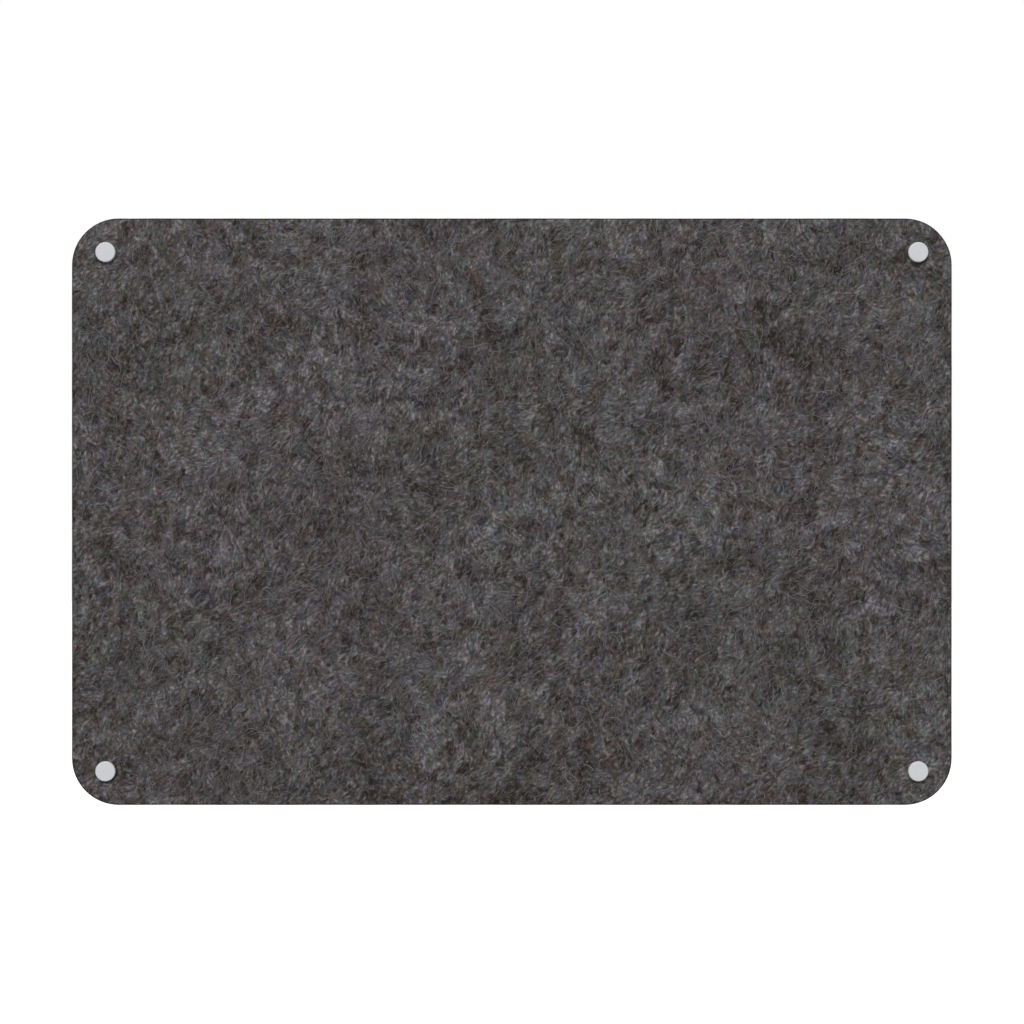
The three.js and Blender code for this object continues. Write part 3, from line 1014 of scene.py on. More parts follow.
def lying_fibres(name, count, seed, steps, lengths, widths, thicknesses, tint_span, surface, facing):
    chance = np.random.default_rng(seed)
    x = chance.uniform(-BOARD_WIDTH / 2, BOARD_WIDTH / 2, count)
    z = chance.uniform(-BOARD_HEIGHT / 2, BOARD_HEIGHT / 2, count)
    patch = np.array([patch_at(a, b) for a, b in zip(x, z)])
    length = lengths[0] + (lengths[1] - lengths[0]) * chance.uniform(0, 1, count) ** LONG_FIBRE_BIAS
    heading = np.array([flow_at(a, b) for a, b in zip(x, z)]) + chance.normal(0, FLOW_LOOSENESS, count)
    bend = chance.normal(0, FIBRE_BEND, count)
    wave = chance.uniform(0, 2 * math.pi, count)
    share = (np.linspace(0, 1, steps) - MIDDLE)[None, :]
    turning = heading[:, None] + bend[:, None] * share
    turning = turning + WIGGLE * np.sin(wave[:, None] + 2 * math.pi * share)
    stride = length[:, None] / (steps - 1)
    xs = x[:, None] + np.cumsum(np.cos(turning) * stride, axis=1)
    zs = z[:, None] + np.cumsum(np.sin(turning) * stride, axis=1)
    ok = inside_board(xs, zs, FIBRE_EDGE_MARGIN).all(axis=1)
    ok &= clear_of_fixings(xs, zs, FIBRE_FIXING_ROOM).all(axis=1)
    ok &= chance.uniform(0, 1, count) < FIBRE_SPARSE + (1 - FIBRE_SPARSE) * patch
    rise = np.cos(np.pi * share) ** RISE_CURVE * 2 - 1
    lift = np.where(rise > 0, rise * RISE_SHARE, rise) * END_SINK
    ys = np.repeat(surface + facing * lift, count, axis=0)[ok]
    xs, zs, turning, patch = xs[ok], zs[ok], turning[ok], patch[ok]
    if facing < 0:
        ys = ys - np.vectorize(front_lift)(xs, zs)
    paths = np.stack([xs, ys, zs], axis=-1)
    sideways = np.stack([-np.sin(turning), np.zeros_like(xs), np.cos(turning)], axis=-1)
    outward = np.zeros_like(paths)
    outward[:, :, 1] = facing
    kept = len(xs)
    half = chance.uniform(*widths, kept) / 2
    thick = chance.uniform(*thicknesses, kept)
    tint = chance.uniform(*tint_span, kept)
    dark_ones = tint < FIBRE_DARK_SHARE
    tint = np.where(dark_ones, tint + FIBRE_DARK_SHARE * patch, tint)
    print(name, "has", kept, "fibres")
    return fibre_piece(name, paths, sideways, outward, half, thick, tint)


HAIR_STEPS = 7
HAIR_LENGTHS = (0.009, 0.030)
HAIR_WIDTHS = (0.0004, 0.0008)
HAIR_THICKNESSES = (0.00006, 0.00012)
HAIR_COUNT = 6000
HAIR_TINT_SPAN = (0.46, 0.74)
TUFT_STEPS = 4
TUFT_LENGTHS = (0.003, 0.0085)
TUFT_WIDTHS = (0.00035, 0.0008)
TUFT_THICKNESSES = (0.00005, 0.00011)
TUFT_COUNT = 15000
TUFT_TINT_SPAN = (0.10, 1.0)
HAIR_SEED = 11
TUFT_LAYERS = (
    ("felt_tufts_front_first", 21, FELT_FRONT, -1),
    ("felt_tufts_front_second", 22, FELT_FRONT, -1),
    ("felt_tufts_front_third", 23, FELT_FRONT, -1),
    ("felt_tufts_back", 31, FELT_BACK, 1),
)

loose = [
    lying_fibres(
        "felt_hairs_front", HAIR_COUNT, HAIR_SEED, HAIR_STEPS,
        HAIR_LENGTHS, HAIR_WIDTHS, HAIR_THICKNESSES, HAIR_TINT_SPAN, FELT_FRONT, -1,
    )
]
for name, seed, surface, facing in TUFT_LAYERS:
    tufts = lying_fibres(
        name, TUFT_COUNT, seed, TUFT_STEPS,
        TUFT_LENGTHS, TUFT_WIDTHS, TUFT_THICKNESSES, TUFT_TINT_SPAN, surface, facing,
    )
    loose.append(tufts)

# %% [markdown]
# The knife leaves cut ends standing out of the edge by a fraction of a millimetre. They follow
# the outline, start a little inside it and lean at random.

# %% Let short ends stand out of the cut edge
FUZZ_COUNT = 4200
FUZZ_STEPS = 4
FUZZ_ROOT = 0.0003
FUZZ_REACH = (0.0002, 0.0007)
FUZZ_LEAN = 0.0006
FUZZ_WIDTHS = (0.00006, 0.00012)
FUZZ_EDGE_MARGIN = 0.0009
FUZZ_THICKNESS_SHARE = 1.7
FUZZ_TINT_SPAN = (0.05, 0.6)
FUZZ_SEED = 14


def outline_point(distance):
    """The point on the board's outline that is this far round it, and the way out there."""
    sides = (
        (2 * corner_across, Vector((-corner_across, -BOARD_HEIGHT / 2)), Vector((1, 0))),
        (2 * corner_up, Vector((BOARD_WIDTH / 2, -corner_up)), Vector((0, 1))),
        (2 * corner_across, Vector((corner_across, BOARD_HEIGHT / 2)), Vector((-1, 0))),
        (2 * corner_up, Vector((-BOARD_WIDTH / 2, corner_up)), Vector((0, -1))),
    )
    quarter = CORNER_RADIUS * math.pi / 2
    left = distance
    for length, start, along in sides:
        out = Vector((along.y, -along.x))
        if left <= length:
            return start + along * left, out
        left -= length
        if left <= quarter:
            angle = left / CORNER_RADIUS
            centre = start + along * length - out * CORNER_RADIUS
            way = out * math.cos(angle) + along * math.sin(angle)
            return centre + way * CORNER_RADIUS, way
        left -= quarter
    return sides[0][1], Vector((0, -1))


chance = np.random.default_rng(FUZZ_SEED)
outline_length = 4 * (corner_across + corner_up) + 2 * math.pi * CORNER_RADIUS
roots = []
ways = []
for distance in chance.uniform(0, outline_length, FUZZ_COUNT):
    spot, way = outline_point(distance)
    roots.append((spot.x, 0, spot.y))
    ways.append((way.x, 0, way.y))
roots = np.array(roots)
ways = np.array(ways)
roots[:, 1] = chance.uniform(FELT_FRONT + FUZZ_EDGE_MARGIN, FELT_BACK - FUZZ_EDGE_MARGIN, FUZZ_COUNT)
tangents = np.stack([-ways[:, 2], ways[:, 1], ways[:, 0]], axis=-1)
reach = chance.uniform(*FUZZ_REACH, FUZZ_COUNT)
lean_along = chance.uniform(-FUZZ_LEAN, FUZZ_LEAN, FUZZ_COUNT)
lean_deep = chance.uniform(-FUZZ_LEAN, FUZZ_LEAN, FUZZ_COUNT) / 2
share = np.linspace(0, 1, FUZZ_STEPS)[None, :, None]
paths = roots[:, None, :] - ways[:, None, :] * FUZZ_ROOT
paths = paths + ways[:, None, :] * (reach[:, None, None] + FUZZ_ROOT) * share
paths = paths + tangents[:, None, :] * lean_along[:, None, None] * share ** 2
paths[:, :, 1] += lean_deep[:, None] * share[:, :, 0] ** 2
sideways = np.repeat(tangents[:, None, :], FUZZ_STEPS, axis=1)
outward = np.zeros_like(paths)
outward[:, :, 1] = -1
half = chance.uniform(*FUZZ_WIDTHS, FUZZ_COUNT) / 2
thick = half * FUZZ_THICKNESS_SHARE
tints = chance.uniform(*FUZZ_TINT_SPAN, FUZZ_COUNT)
loose.append(fibre_piece("felt_edge_fuzz", paths, sideways, outward, half, thick, tints))
for piece in loose:
    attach(piece, "board")
    print(piece.name, "triangles:", triangle_count(piece.data))

# %% [markdown]
# ## Turned pieces
# Caps, bushes, screws, spacers and plugs are all round. Each is drawn as half of its section, a
# list of radius, height and rounding, and spun about the y axis. The rounding puts a small
# fillet on each corner, as a mould or a lathe tool leaves, and a spare point beside each fillet
# keeps the shading of the flats flat. The distance from the axis is stored for the finishes.

# %% Helpers for turned pieces
FILLET_STEPS = 4
FILLET_SUPPORT = 0.00004


def softened(outline, closed):
    """The outline's corners as fillets, as a list of radius and height."""
    points = []
    count = len(outline)
    for i, (radius, height, rounding) in enumerate(outline):
        here = Vector((radius, height))
        at_end = not closed and i in (0, count - 1)
        if rounding == 0 or at_end:
            points.append(here)
            continue
        before = (Vector(outline[i - 1][:2]) - here).normalized()
        after = (Vector(outline[(i + 1) % count][:2]) - here).normalized()
        half = before.angle(after) / 2
        reach = rounding / math.tan(half)
        centre = here + (before + after).normalized() * rounding / math.sin(half)
        start = here + before * reach - centre
        sweep = start.angle_signed(here + after * reach - centre)
        points.append(here + before * (reach + FILLET_SUPPORT))
        for step in range(FILLET_STEPS + 1):
            spoke = start.copy()
            spoke.rotate(Matrix.Rotation(-sweep * step / FILLET_STEPS, 2))
            points.append(centre + spoke)
        points.append(here + after * (reach + FILLET_SUPPORT))
    return points


def turned(name, outline, sides, closed=True, ridge=None):
    """Spins an outline about the y axis. A ridge function may add to the radius at an angle and height."""
    profile = softened(outline, closed)
    edit = bmesh.new()
    distance = edit.verts.layers.float.new("axis_distance")
    loops = []
    for radius, height in profile:
        if radius <= 0:
            point = edit.verts.new((0, height, 0))
            point[distance] = 0
            loops.append([point] * sides)
            continue
        around = []
        for side in range(sides):
            angle = 2 * math.pi * side / sides
            full = radius + (ridge(angle, height) if ridge else 0)
            point = edit.verts.new((full * math.sin(angle), height, full * math.cos(angle)))
            point[distance] = full
            around.append(point)
        loops.append(around)
    pairs = list(zip(loops, loops[1:]))
    if closed:
        pairs.append((loops[-1], loops[0]))
    for upper, lower in pairs:
        for side in range(sides):
            after = (side + 1) % sides
            corners = [upper[side], upper[after], lower[after], lower[side]]
            edit.faces.new(list(dict.fromkeys(corners)))
    bmesh.ops.recalc_face_normals(edit, faces=edit.faces)
    mesh = bpy.data.meshes.new(name)
    edit.to_mesh(mesh)
    edit.free()
    return mesh


def block(name, low, high, turn=0.0):
    """A box between two corners, turned about the y axis: a cutter or a rib."""
    edit = bmesh.new()
    bmesh.ops.create_cube(edit, size=1)
    size = [b - a for a, b in zip(low, high)]
    middle = [(a + b) / 2 for a, b in zip(low, high)]
    bmesh.ops.scale(edit, vec=size, verts=edit.verts)
    bmesh.ops.translate(edit, vec=middle, verts=edit.verts)
    bmesh.ops.rotate(edit, cent=(0, 0, 0), matrix=Matrix.Rotation(turn, 3, "Y"), verts=edit.verts)
    mesh = bpy.data.meshes.new(name)
    edit.to_mesh(mesh)
    edit.free()
    return mesh


def at_each_fixing(kind, mesh, material, node_kind, body_kind, turn_step):
    """A copy of the finished mesh for every fixing, each turned a little differently, as fitted."""
    for number, (corner, at) in enumerate(fixings.items()):
        own = mesh.copy()
        own.name = kind + "_" + corner
        own.transform(Matrix.Translation(at) @ Matrix.Rotation(number * turn_step, 4, "Y"))
        piece = piece_from(kind + "_" + corner, own, material)
        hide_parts(node_kind + "_" + corner)
        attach(piece, body_kind + corner if body_kind.endswith("_") else body_kind)
    print(kind, "triangles each:", triangle_count(mesh))


# %% [markdown]
# ## The finish of the plastics
# All four plastics are the same recipe with their own colour: mould grain in the bump and the
# roughness, slow clouds in the colour, paler edges and a little dust in the hollows. The paler
# edges are rubbed wear, and on the caps a painted highlight where the rounded rim catches the light.

# %% Build a plastic
PLASTIC_SHINE = 0.35
PLASTIC_CLOUD_CONTRAST = 1.6
RUBBED_AND_HIGHLIGHT_SHARE = 0.6
DUST_SHARE = 0.35
GRAIN_STRENGTH = 0.35
PATCH_LOW = 0.3
PATCH_HIGH = 0.7
SMOOTHER_BY = 0.05
ROUGHER_BY = 0.07
WEAR_AND_HIGHLIGHT_SHARES = {"Edge Start": 0.52, "Edge Full": 0.60, "Hollow Full": 0.42}


def surface_effects(tree, cloud_size, cloud_contrast, grain_size):
    """Clouds, grain, and masks for wear and dust, which every moulded or plated piece has. On the caps the
    edge mask also carries a painted highlight.
    """
    place = place_on_piece(tree)
    cloud = soft_cloud(tree, place, cloud_size, cloud_contrast)
    grain = add_node(tree, "Group", {"Vector": place, "Grain Size": grain_size}, node_tree=grain_group)
    wear_and_highlight = add_node(tree, "Group", WEAR_AND_HIGHLIGHT_SHARES, node_tree=wear_and_highlight_group)
    return cloud, grain.outputs, wear_and_highlight.outputs


def plastic(name, colours, roughness, grain_size, grain_depth, cloud_size, cloud_share):
    """One moulded plastic. The colours are those of the faces, the paler edges and the dust. The paler
    edges are rubbed wear, and on the caps a painted highlight.
    """
    colour, edge_colour, dust_colour = colours
    material, tree, shader = new_material(name)
    cloud, grain, wear_and_highlight = surface_effects(tree, cloud_size, PLASTIC_CLOUD_CONTRAST, grain_size)
    darker = (*[channel * (1 - cloud_share) for channel in colour[:3]], 1.0)
    lighter = (*[min(1.0, channel * (1 + cloud_share)) for channel in colour[:3]], 1.0)
    tint = mix_colours(tree, cloud, darker, lighter)
    # Paler edges: rubbed wear, and on the caps a painted highlight where the rounded rim catches the light.
    tint = mix_colours(tree, maths(tree, "MULTIPLY", wear_and_highlight["Edge"], RUBBED_AND_HIGHLIGHT_SHARE), tint, edge_colour)
    tint = mix_colours(tree, maths(tree, "MULTIPLY", wear_and_highlight["Hollow"], DUST_SHARE), tint, dust_colour)
    smoothest, roughest = roughness - SMOOTHER_BY, roughness + ROUGHER_BY
    gloss = remap(tree, grain["Patches"], PATCH_LOW, PATCH_HIGH, smoothest, roughest)
    values = {"Strength": GRAIN_STRENGTH, "Distance": grain_depth, "Height": grain["Height"]}
    normal = add_node(tree, "Bump", values).outputs["Normal"]
    values = {"Base Color": tint, "Roughness": gloss, "Normal": normal, "Specular IOR Level": PLASTIC_SHINE}
    fill_inputs(tree, shader, values)
    return material


# %% [markdown]
# ## The cover caps
# The caps are the one thing on the board that catches the eye: 17 mm across, pale cool grey and
# satin. The face is very slightly crowned, as moulded caps are so that they don't look dished,
# and a round of 0.9 mm leads to the wall. Inside, a bead snaps behind the bush and six fine ribs
# centre the cap. They all stay clear of the bush, so the cap can slide off.

# %% Make the caps
CAP_SIDES = 120
CAP_RADIUS = 0.0085
CAP_FRONT = -0.0248
CAP_BACK = -0.0213
CAP_CROWN = 0.00012
CAP_EDGE_ROUND = 0.0009
CAP_FOOT_ROUND = 0.00012
CAP_INNER_RADIUS = 0.0075
CAP_INNER_FRONT = -0.0237
CAP_INNER_ROUND = 0.0003
BEAD_RADIUS = 0.00725
BEAD_FRONT = -0.0218
BEAD_RAMP = 0.00025
BEAD_ROUND = 0.00008
CAP_RIB_COUNT = 6
CAP_RIB_DEPTH = 0.00018
CAP_RIB_HALF_TURN = math.radians(2.2)
CAP_CROWN_SPAN = 0.7
inner_wall_low = CAP_INNER_FRONT + CAP_INNER_ROUND / 2
inner_wall_high = BEAD_FRONT - BEAD_RAMP - BEAD_ROUND

cap_outline = [
    (0, CAP_FRONT, 0),
    (CAP_RADIUS * CAP_CROWN_SPAN / 2, CAP_FRONT + CAP_CROWN / 4, 0),
    (CAP_RADIUS * CAP_CROWN_SPAN, CAP_FRONT + CAP_CROWN / 2, 0),
    (CAP_RADIUS, CAP_FRONT + CAP_CROWN, CAP_EDGE_ROUND),
    (CAP_RADIUS, CAP_BACK, CAP_FOOT_ROUND),
    (BEAD_RADIUS, CAP_BACK, CAP_FOOT_ROUND),
    (BEAD_RADIUS, BEAD_FRONT, BEAD_ROUND),
    (CAP_INNER_RADIUS, BEAD_FRONT - BEAD_RAMP, BEAD_ROUND),
    (CAP_INNER_RADIUS, CAP_INNER_FRONT, CAP_INNER_ROUND),
    (0, CAP_INNER_FRONT, 0),
]


def cap_rib(angle, height):
    """Six ribs down the inside wall, between the bead and the inner face."""
    if not inner_wall_low < height < inner_wall_high:
        return 0
    pitch = 2 * math.pi / CAP_RIB_COUNT
    off = abs((angle + pitch / 2) % pitch - pitch / 2)
    return -CAP_RIB_DEPTH * max(0, 1 - (off / CAP_RIB_HALF_TURN) ** 2)


cap_mesh = turned("cover_cap", cap_outline, CAP_SIDES, closed=False)
for point in cap_mesh.vertices:
    radius = math.hypot(point.co.x, point.co.z)
    if abs(radius - CAP_INNER_RADIUS) < CAP_RIB_DEPTH / 4:
        grow = 1 + cap_rib(math.atan2(point.co.x, point.co.z), point.co.y) / radius
        point.co.x *= grow
        point.co.z *= grow
smooth_with_sharp_edges(cap_mesh, SHARP_ANGLE)

# %% Finish the caps and fit them
# The caps' second colour, on their edges, is a painted highlight where the rounded rim catches the light.
CAP_COLOURS = (screen_colour(203, 205, 208), screen_colour(222, 225, 229), screen_colour(176, 176, 176))
CAP_FITTED_TURN = math.radians(19)
CAP_ROUGHNESS = 0.42
CAP_GRAIN = 0.00022
CAP_GRAIN_DEPTH = 0.00002
CAP_CLOUD = 0.003
CAP_CLOUD_SHARE = 0.03
cap_material = plastic(
    "pale_grey_cap", CAP_COLOURS, CAP_ROUGHNESS, CAP_GRAIN, CAP_GRAIN_DEPTH, CAP_CLOUD, CAP_CLOUD_SHARE
)
at_each_fixing("cap", cap_mesh, cap_material, "cover_cap", "cap_", CAP_FITTED_TURN)

# %% [markdown]
# ## The bushes under the caps
# A bush is a flange with a collar. Its front has a countersink for the screw and a shallow ring,
# and the lip behind which the cap snaps runs round its edge. It shows when a cap is pulled off.

# %% Make the bushes
BUSH_SIDES = 96
BUSH_FRONT = -0.0232
BUSH_RADIUS = 0.00695
BUSH_LIP_BACK = -0.0218
BUSH_UNDERCUT = 0.0066
COLLAR_RADIUS = 0.00455
COLLAR_END = -0.010
BUSH_BORE = 0.00255
SINK_RADIUS = 0.0046
SINK_FLOOR = -0.0227
RING_INNER = 0.0054
RING_OUTER = 0.0060
RING_DEPTH = 0.00022
BUSH_ROUND = 0.00025
BUSH_SMALL_ROUND = 0.00008

bush_outline = [
    (SINK_RADIUS, BUSH_FRONT, BUSH_SMALL_ROUND),
    (RING_INNER, BUSH_FRONT, BUSH_SMALL_ROUND),
    (RING_INNER, BUSH_FRONT + RING_DEPTH, BUSH_SMALL_ROUND),
    (RING_OUTER, BUSH_FRONT + RING_DEPTH, BUSH_SMALL_ROUND),
    (RING_OUTER, BUSH_FRONT, BUSH_SMALL_ROUND),
    (BUSH_RADIUS, BUSH_FRONT, BUSH_ROUND),
    (BUSH_RADIUS, BUSH_LIP_BACK, BUSH_ROUND),
    (BUSH_UNDERCUT, BUSH_LIP_BACK, BUSH_SMALL_ROUND),
    (BUSH_UNDERCUT, FELT_FRONT, 0),
    (COLLAR_RADIUS, FELT_FRONT, 0),
    (COLLAR_RADIUS, COLLAR_END, BUSH_ROUND),
    (BUSH_BORE, COLLAR_END, BUSH_SMALL_ROUND),
    (BUSH_BORE, SINK_FLOOR + SINK_RADIUS - BUSH_BORE, 0),
    (SINK_RADIUS, SINK_FLOOR, 0),
]
bush_mesh = turned("cap_seat", bush_outline, BUSH_SIDES)
smooth_with_sharp_edges(bush_mesh, SHARP_ANGLE)

# %% Finish the bushes and fit them
BUSH_COLOURS = (screen_colour(217, 217, 214), screen_colour(232, 232, 230), screen_colour(178, 176, 172))
BUSH_FITTED_TURN = math.radians(23)
BUSH_ROUGHNESS = 0.45
BUSH_GRAIN = 0.0003
BUSH_GRAIN_DEPTH = 0.00002
BUSH_CLOUD = 0.004
BUSH_CLOUD_SHARE = 0.03
bush_material = plastic(
    "white_nylon", BUSH_COLOURS, BUSH_ROUGHNESS, BUSH_GRAIN, BUSH_GRAIN_DEPTH, BUSH_CLOUD, BUSH_CLOUD_SHARE
)
at_each_fixing("bush", bush_mesh, bush_material, "cap_seat", "board", BUSH_FITTED_TURN)

# %% [markdown]
# ## The screws
# A countersunk screw of 4.5 by 60 mm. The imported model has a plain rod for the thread. Here the
# thread is a real helix: the radius rises to a crest wherever the angle matches the height, and
# it is right-handed, as every wood screw is. The cross recess is cut with two tapered blades.

# %% Make the screws
SCREW_SIDES = 48
HEAD_FRONT = -0.0230
HEAD_RADIUS = 0.0043
HEAD_RIM = -0.0227
SHANK_RADIUS = 0.00165
CORE_RADIUS = 0.00152
THREAD_RADIUS = 0.00225
THREAD_START = 0.0004
THREAD_RUN_IN = 0.0018
THREAD_PITCH = 0.0022
THREAD_ROW = 0.00016
THREAD_FLANK_SHARE = 0.24
TIP_START = 0.032
TIP_END = 0.037
HEAD_ROUND = 0.00012
RECESS_SPAN = 0.0044
RECESS_WIDTH = 0.0009
RECESS_DEPTH = 0.0018
RECESS_FLOOR_SHARE = 0.45
RECESS_WING_SHARE = 0.8
RECESS_OVERRUN = 0.0006
THREAD_CREST_FLAT = 1.15
TIP_SMALLEST_SHARE = 0.04
THREAD_SHARP_ANGLE = math.radians(50)


def tip_share(height):
    return min(1.0, max(0.0, (TIP_END - height) / (TIP_END - TIP_START)))


def thread_ridge(angle, height):
    if height < THREAD_START:
        return 0
    run_in = min(1.0, (height - THREAD_START) / THREAD_RUN_IN)
    turn = (height / THREAD_PITCH - angle / (2 * math.pi)) % 1
    crest = max(0.0, 1 - abs(turn - MIDDLE) / THREAD_FLANK_SHARE)
    share = tip_share(height)
    return (THREAD_RADIUS - CORE_RADIUS) * run_in * share * min(1.0, crest * THREAD_CREST_FLAT)


screw_outline = [
    (0, HEAD_FRONT, 0),
    (HEAD_RADIUS / 2, HEAD_FRONT, 0),
    (HEAD_RADIUS, HEAD_FRONT, HEAD_ROUND),
    (HEAD_RADIUS, HEAD_RIM, HEAD_ROUND),
    (SHANK_RADIUS, HEAD_RIM + HEAD_RADIUS - SHANK_RADIUS, 0),
    (SHANK_RADIUS, -THREAD_RUN_IN, 0),
    (CORE_RADIUS, 0, 0),
]
rows = int((TIP_END - THREAD_START) / THREAD_ROW)
for row in range(rows):
    height = THREAD_START + (TIP_END - THREAD_START) * row / rows
    screw_outline.append((CORE_RADIUS * max(TIP_SMALLEST_SHARE, tip_share(height)), height, 0))
screw_outline.append((0, TIP_END, 0))
screw_mesh = turned("wall_screw", screw_outline, SCREW_SIDES, closed=False, ridge=thread_ridge)


def recess_blade(turn):
    """A blade that narrows towards its tip, like the wing of a cross-point driver."""
    mesh = block(
        "blade",
        (-RECESS_SPAN / 2, HEAD_FRONT - RECESS_OVERRUN, -RECESS_WIDTH / 2),
        (RECESS_SPAN / 2, HEAD_FRONT + RECESS_DEPTH, RECESS_WIDTH / 2),
    )
    for point in mesh.vertices:
        if point.co.y > HEAD_FRONT:
            point.co.x *= RECESS_FLOOR_SHARE
            point.co.z *= RECESS_WING_SHARE
    mesh.transform(Matrix.Rotation(turn, 4, "Y"))
    return mesh


screw_shape = piece_from("screw_shape", screw_mesh)
for turn in (0, math.pi / 2):
    combined(screw_shape, piece_from("blade", recess_blade(turn)), "DIFFERENCE")
screw_mesh = finished_mesh(screw_shape, THREAD_SHARP_ANGLE)
print("thread rows:", rows)

# %% [markdown]
# Zinc plating is bright but never a mirror: it has a fine crystalline grain, patches where it is
# duller, rings from the turning of the head, and grime at the foot of the thread.

# %% Build the zinc finish and fit the screws
ZINC = screen_colour(185, 188, 192)
ZINC_DULL = screen_colour(150, 150, 150)
ZINC_BRIGHT = screen_colour(214, 216, 219)
ZINC_GRIME = screen_colour(88, 84, 78)
SCREW_FITTED_TURN = math.radians(31)
ZINC_GRAIN = 0.00025
ZINC_GRAIN_DEPTH = 0.00001
ZINC_CLOUD = 0.004
ZINC_CLOUD_CONTRAST = 2.0
ZINC_GRIME_SHARE = 0.7
ZINC_SMOOTHEST = 0.28
ZINC_ROUGHEST = 0.45
ZINC_GRAIN_STRENGTH = 0.3
TURNING_MARK = 0.00009

zinc_material, tree, zinc_shader = new_material("zinc_plated_steel")
cloud, grain, wear_and_highlight = surface_effects(tree, ZINC_CLOUD, ZINC_CLOUD_CONTRAST, ZINC_GRAIN)
ring_place = maths(tree, "DIVIDE", attribute(tree, "axis_distance"), TURNING_MARK)
marks = add_node(tree, "TexNoise", {"W": ring_place, "Scale": 1.0, "Detail": 1.0}, noise_dimensions="1D")
colour = mix_colours(tree, cloud, ZINC_DULL, ZINC)
colour = mix_colours(tree, wear_and_highlight["Edge"], colour, ZINC_BRIGHT)
colour = mix_colours(tree, maths(tree, "MULTIPLY", wear_and_highlight["Hollow"], ZINC_GRIME_SHARE), colour, ZINC_GRIME)
gloss = remap(tree, grain["Patches"], PATCH_LOW, PATCH_HIGH, ZINC_SMOOTHEST, ZINC_ROUGHEST)
relief = maths(tree, "ADD", marks.outputs["Fac"], grain["Height"])
values = {"Strength": ZINC_GRAIN_STRENGTH, "Distance": ZINC_GRAIN_DEPTH, "Height": relief}
normal = add_node(tree, "Bump", values).outputs["Normal"]
values = {"Base Color": colour, "Roughness": gloss, "Normal": normal, "Metallic": 1.0}
fill_inputs(tree, zinc_shader, values)
at_each_fixing("screw", screw_mesh, zinc_material, "wall_screw", "board", SCREW_FITTED_TURN)

# %% [markdown]
# ## The wall spacers
# A spacer is a shallow moulded cup that stands open side to the wall. Six ribs tie its hub to
# its wall, and the hub's socket takes the end of the bush. Ribs and cup are joined into one
# solid, as they are in the mould.

# %% Make the spacers
SPACER_SIDES = 96
SPACER_RADIUS = 0.010
CUP_RADIUS = 0.0084
CUP_FLOOR = -0.0094
HUB_RADIUS = 0.00655
HUB_END = -0.0011
SOCKET_RADIUS = 0.00485
SOCKET_FLOOR = -0.0097
SPACER_ROUND = 0.0005
SPACER_SMALL_ROUND = 0.00015
SPACER_RIB_COUNT = 6
SPACER_RIB_WIDTH = 0.0012
SPACER_RIB_SINK = 0.0008

spacer_outline = [
    (SOCKET_RADIUS, FELT_BACK, SPACER_SMALL_ROUND),
    (SPACER_RADIUS, FELT_BACK, SPACER_ROUND),
    (SPACER_RADIUS, 0, SPACER_SMALL_ROUND),
    (CUP_RADIUS, 0, SPACER_SMALL_ROUND),
    (CUP_RADIUS, CUP_FLOOR, SPACER_ROUND),
    (HUB_RADIUS, CUP_FLOOR, SPACER_ROUND),
    (HUB_RADIUS, HUB_END, SPACER_SMALL_ROUND),
    (BUSH_BORE, HUB_END, SPACER_SMALL_ROUND),
    (BUSH_BORE, SOCKET_FLOOR, 0),
    (SOCKET_RADIUS, SOCKET_FLOOR, 0),
]
spacer_shape = piece_from("spacer_shape", turned("wall_spacer", spacer_outline, SPACER_SIDES))
rib_inner = HUB_RADIUS - SPACER_RIB_SINK
rib_outer = CUP_RADIUS + SPACER_RIB_SINK
for number in range(SPACER_RIB_COUNT):
    rib_mesh = block(
        "rib",
        (rib_inner, CUP_FLOOR - SPACER_RIB_SINK, -SPACER_RIB_WIDTH / 2),
        (rib_outer, HUB_END - SPACER_SMALL_ROUND, SPACER_RIB_WIDTH / 2),
        2 * math.pi * number / SPACER_RIB_COUNT,
    )
    combined(spacer_shape, piece_from("rib", rib_mesh), "UNION")
spacer_mesh = finished_mesh(spacer_shape, SHARP_ANGLE)

# %% Finish the spacers and fit them
SPACER_COLOURS = (screen_colour(58, 58, 60), screen_colour(96, 96, 98), screen_colour(86, 84, 80))
SPACER_FITTED_TURN = math.radians(9)
SPACER_ROUGHNESS = 0.5
SPACER_GRAIN = 0.0004
SPACER_GRAIN_DEPTH = 0.00004
SPACER_CLOUD = 0.006
SPACER_CLOUD_SHARE = 0.12
spacer_material = plastic(
    "dark_spacer_plastic", SPACER_COLOURS, SPACER_ROUGHNESS,
    SPACER_GRAIN, SPACER_GRAIN_DEPTH, SPACER_CLOUD, SPACER_CLOUD_SHARE,
)
at_each_fixing("spacer", spacer_mesh, spacer_material, "wall_spacer", "board", SPACER_FITTED_TURN)

# %% [markdown]
# ## The wall plugs
# A nylon plug has a rim that stops it at the wall, a plain neck, and saw teeth that grip the
# drilled hole. A slot splits it from the neck to the end, so that the screw can spread it, and
# two low fins on the neck keep it from turning.

# %% Make the plugs
PLUG_SIDES = 64
PLUG_RIM_FRONT = -0.0008
PLUG_RIM_RADIUS = 0.005
PLUG_RADIUS = 0.004
PLUG_ROOT = 0.00355
PLUG_NECK_END = 0.009
PLUG_TEETH_END = 0.037
PLUG_END = 0.040
PLUG_TOOTH_COUNT = 6
PLUG_SLOT = 0.0009
PLUG_SLOT_OVERRUN = 0.0006
PLUG_ROUND = 0.00015
FIN_REACH = 0.0046
FIN_WIDTH = 0.0008
FIN_START = 0.0004
FIN_END = 0.0078
FIN_SINK = 0.0005

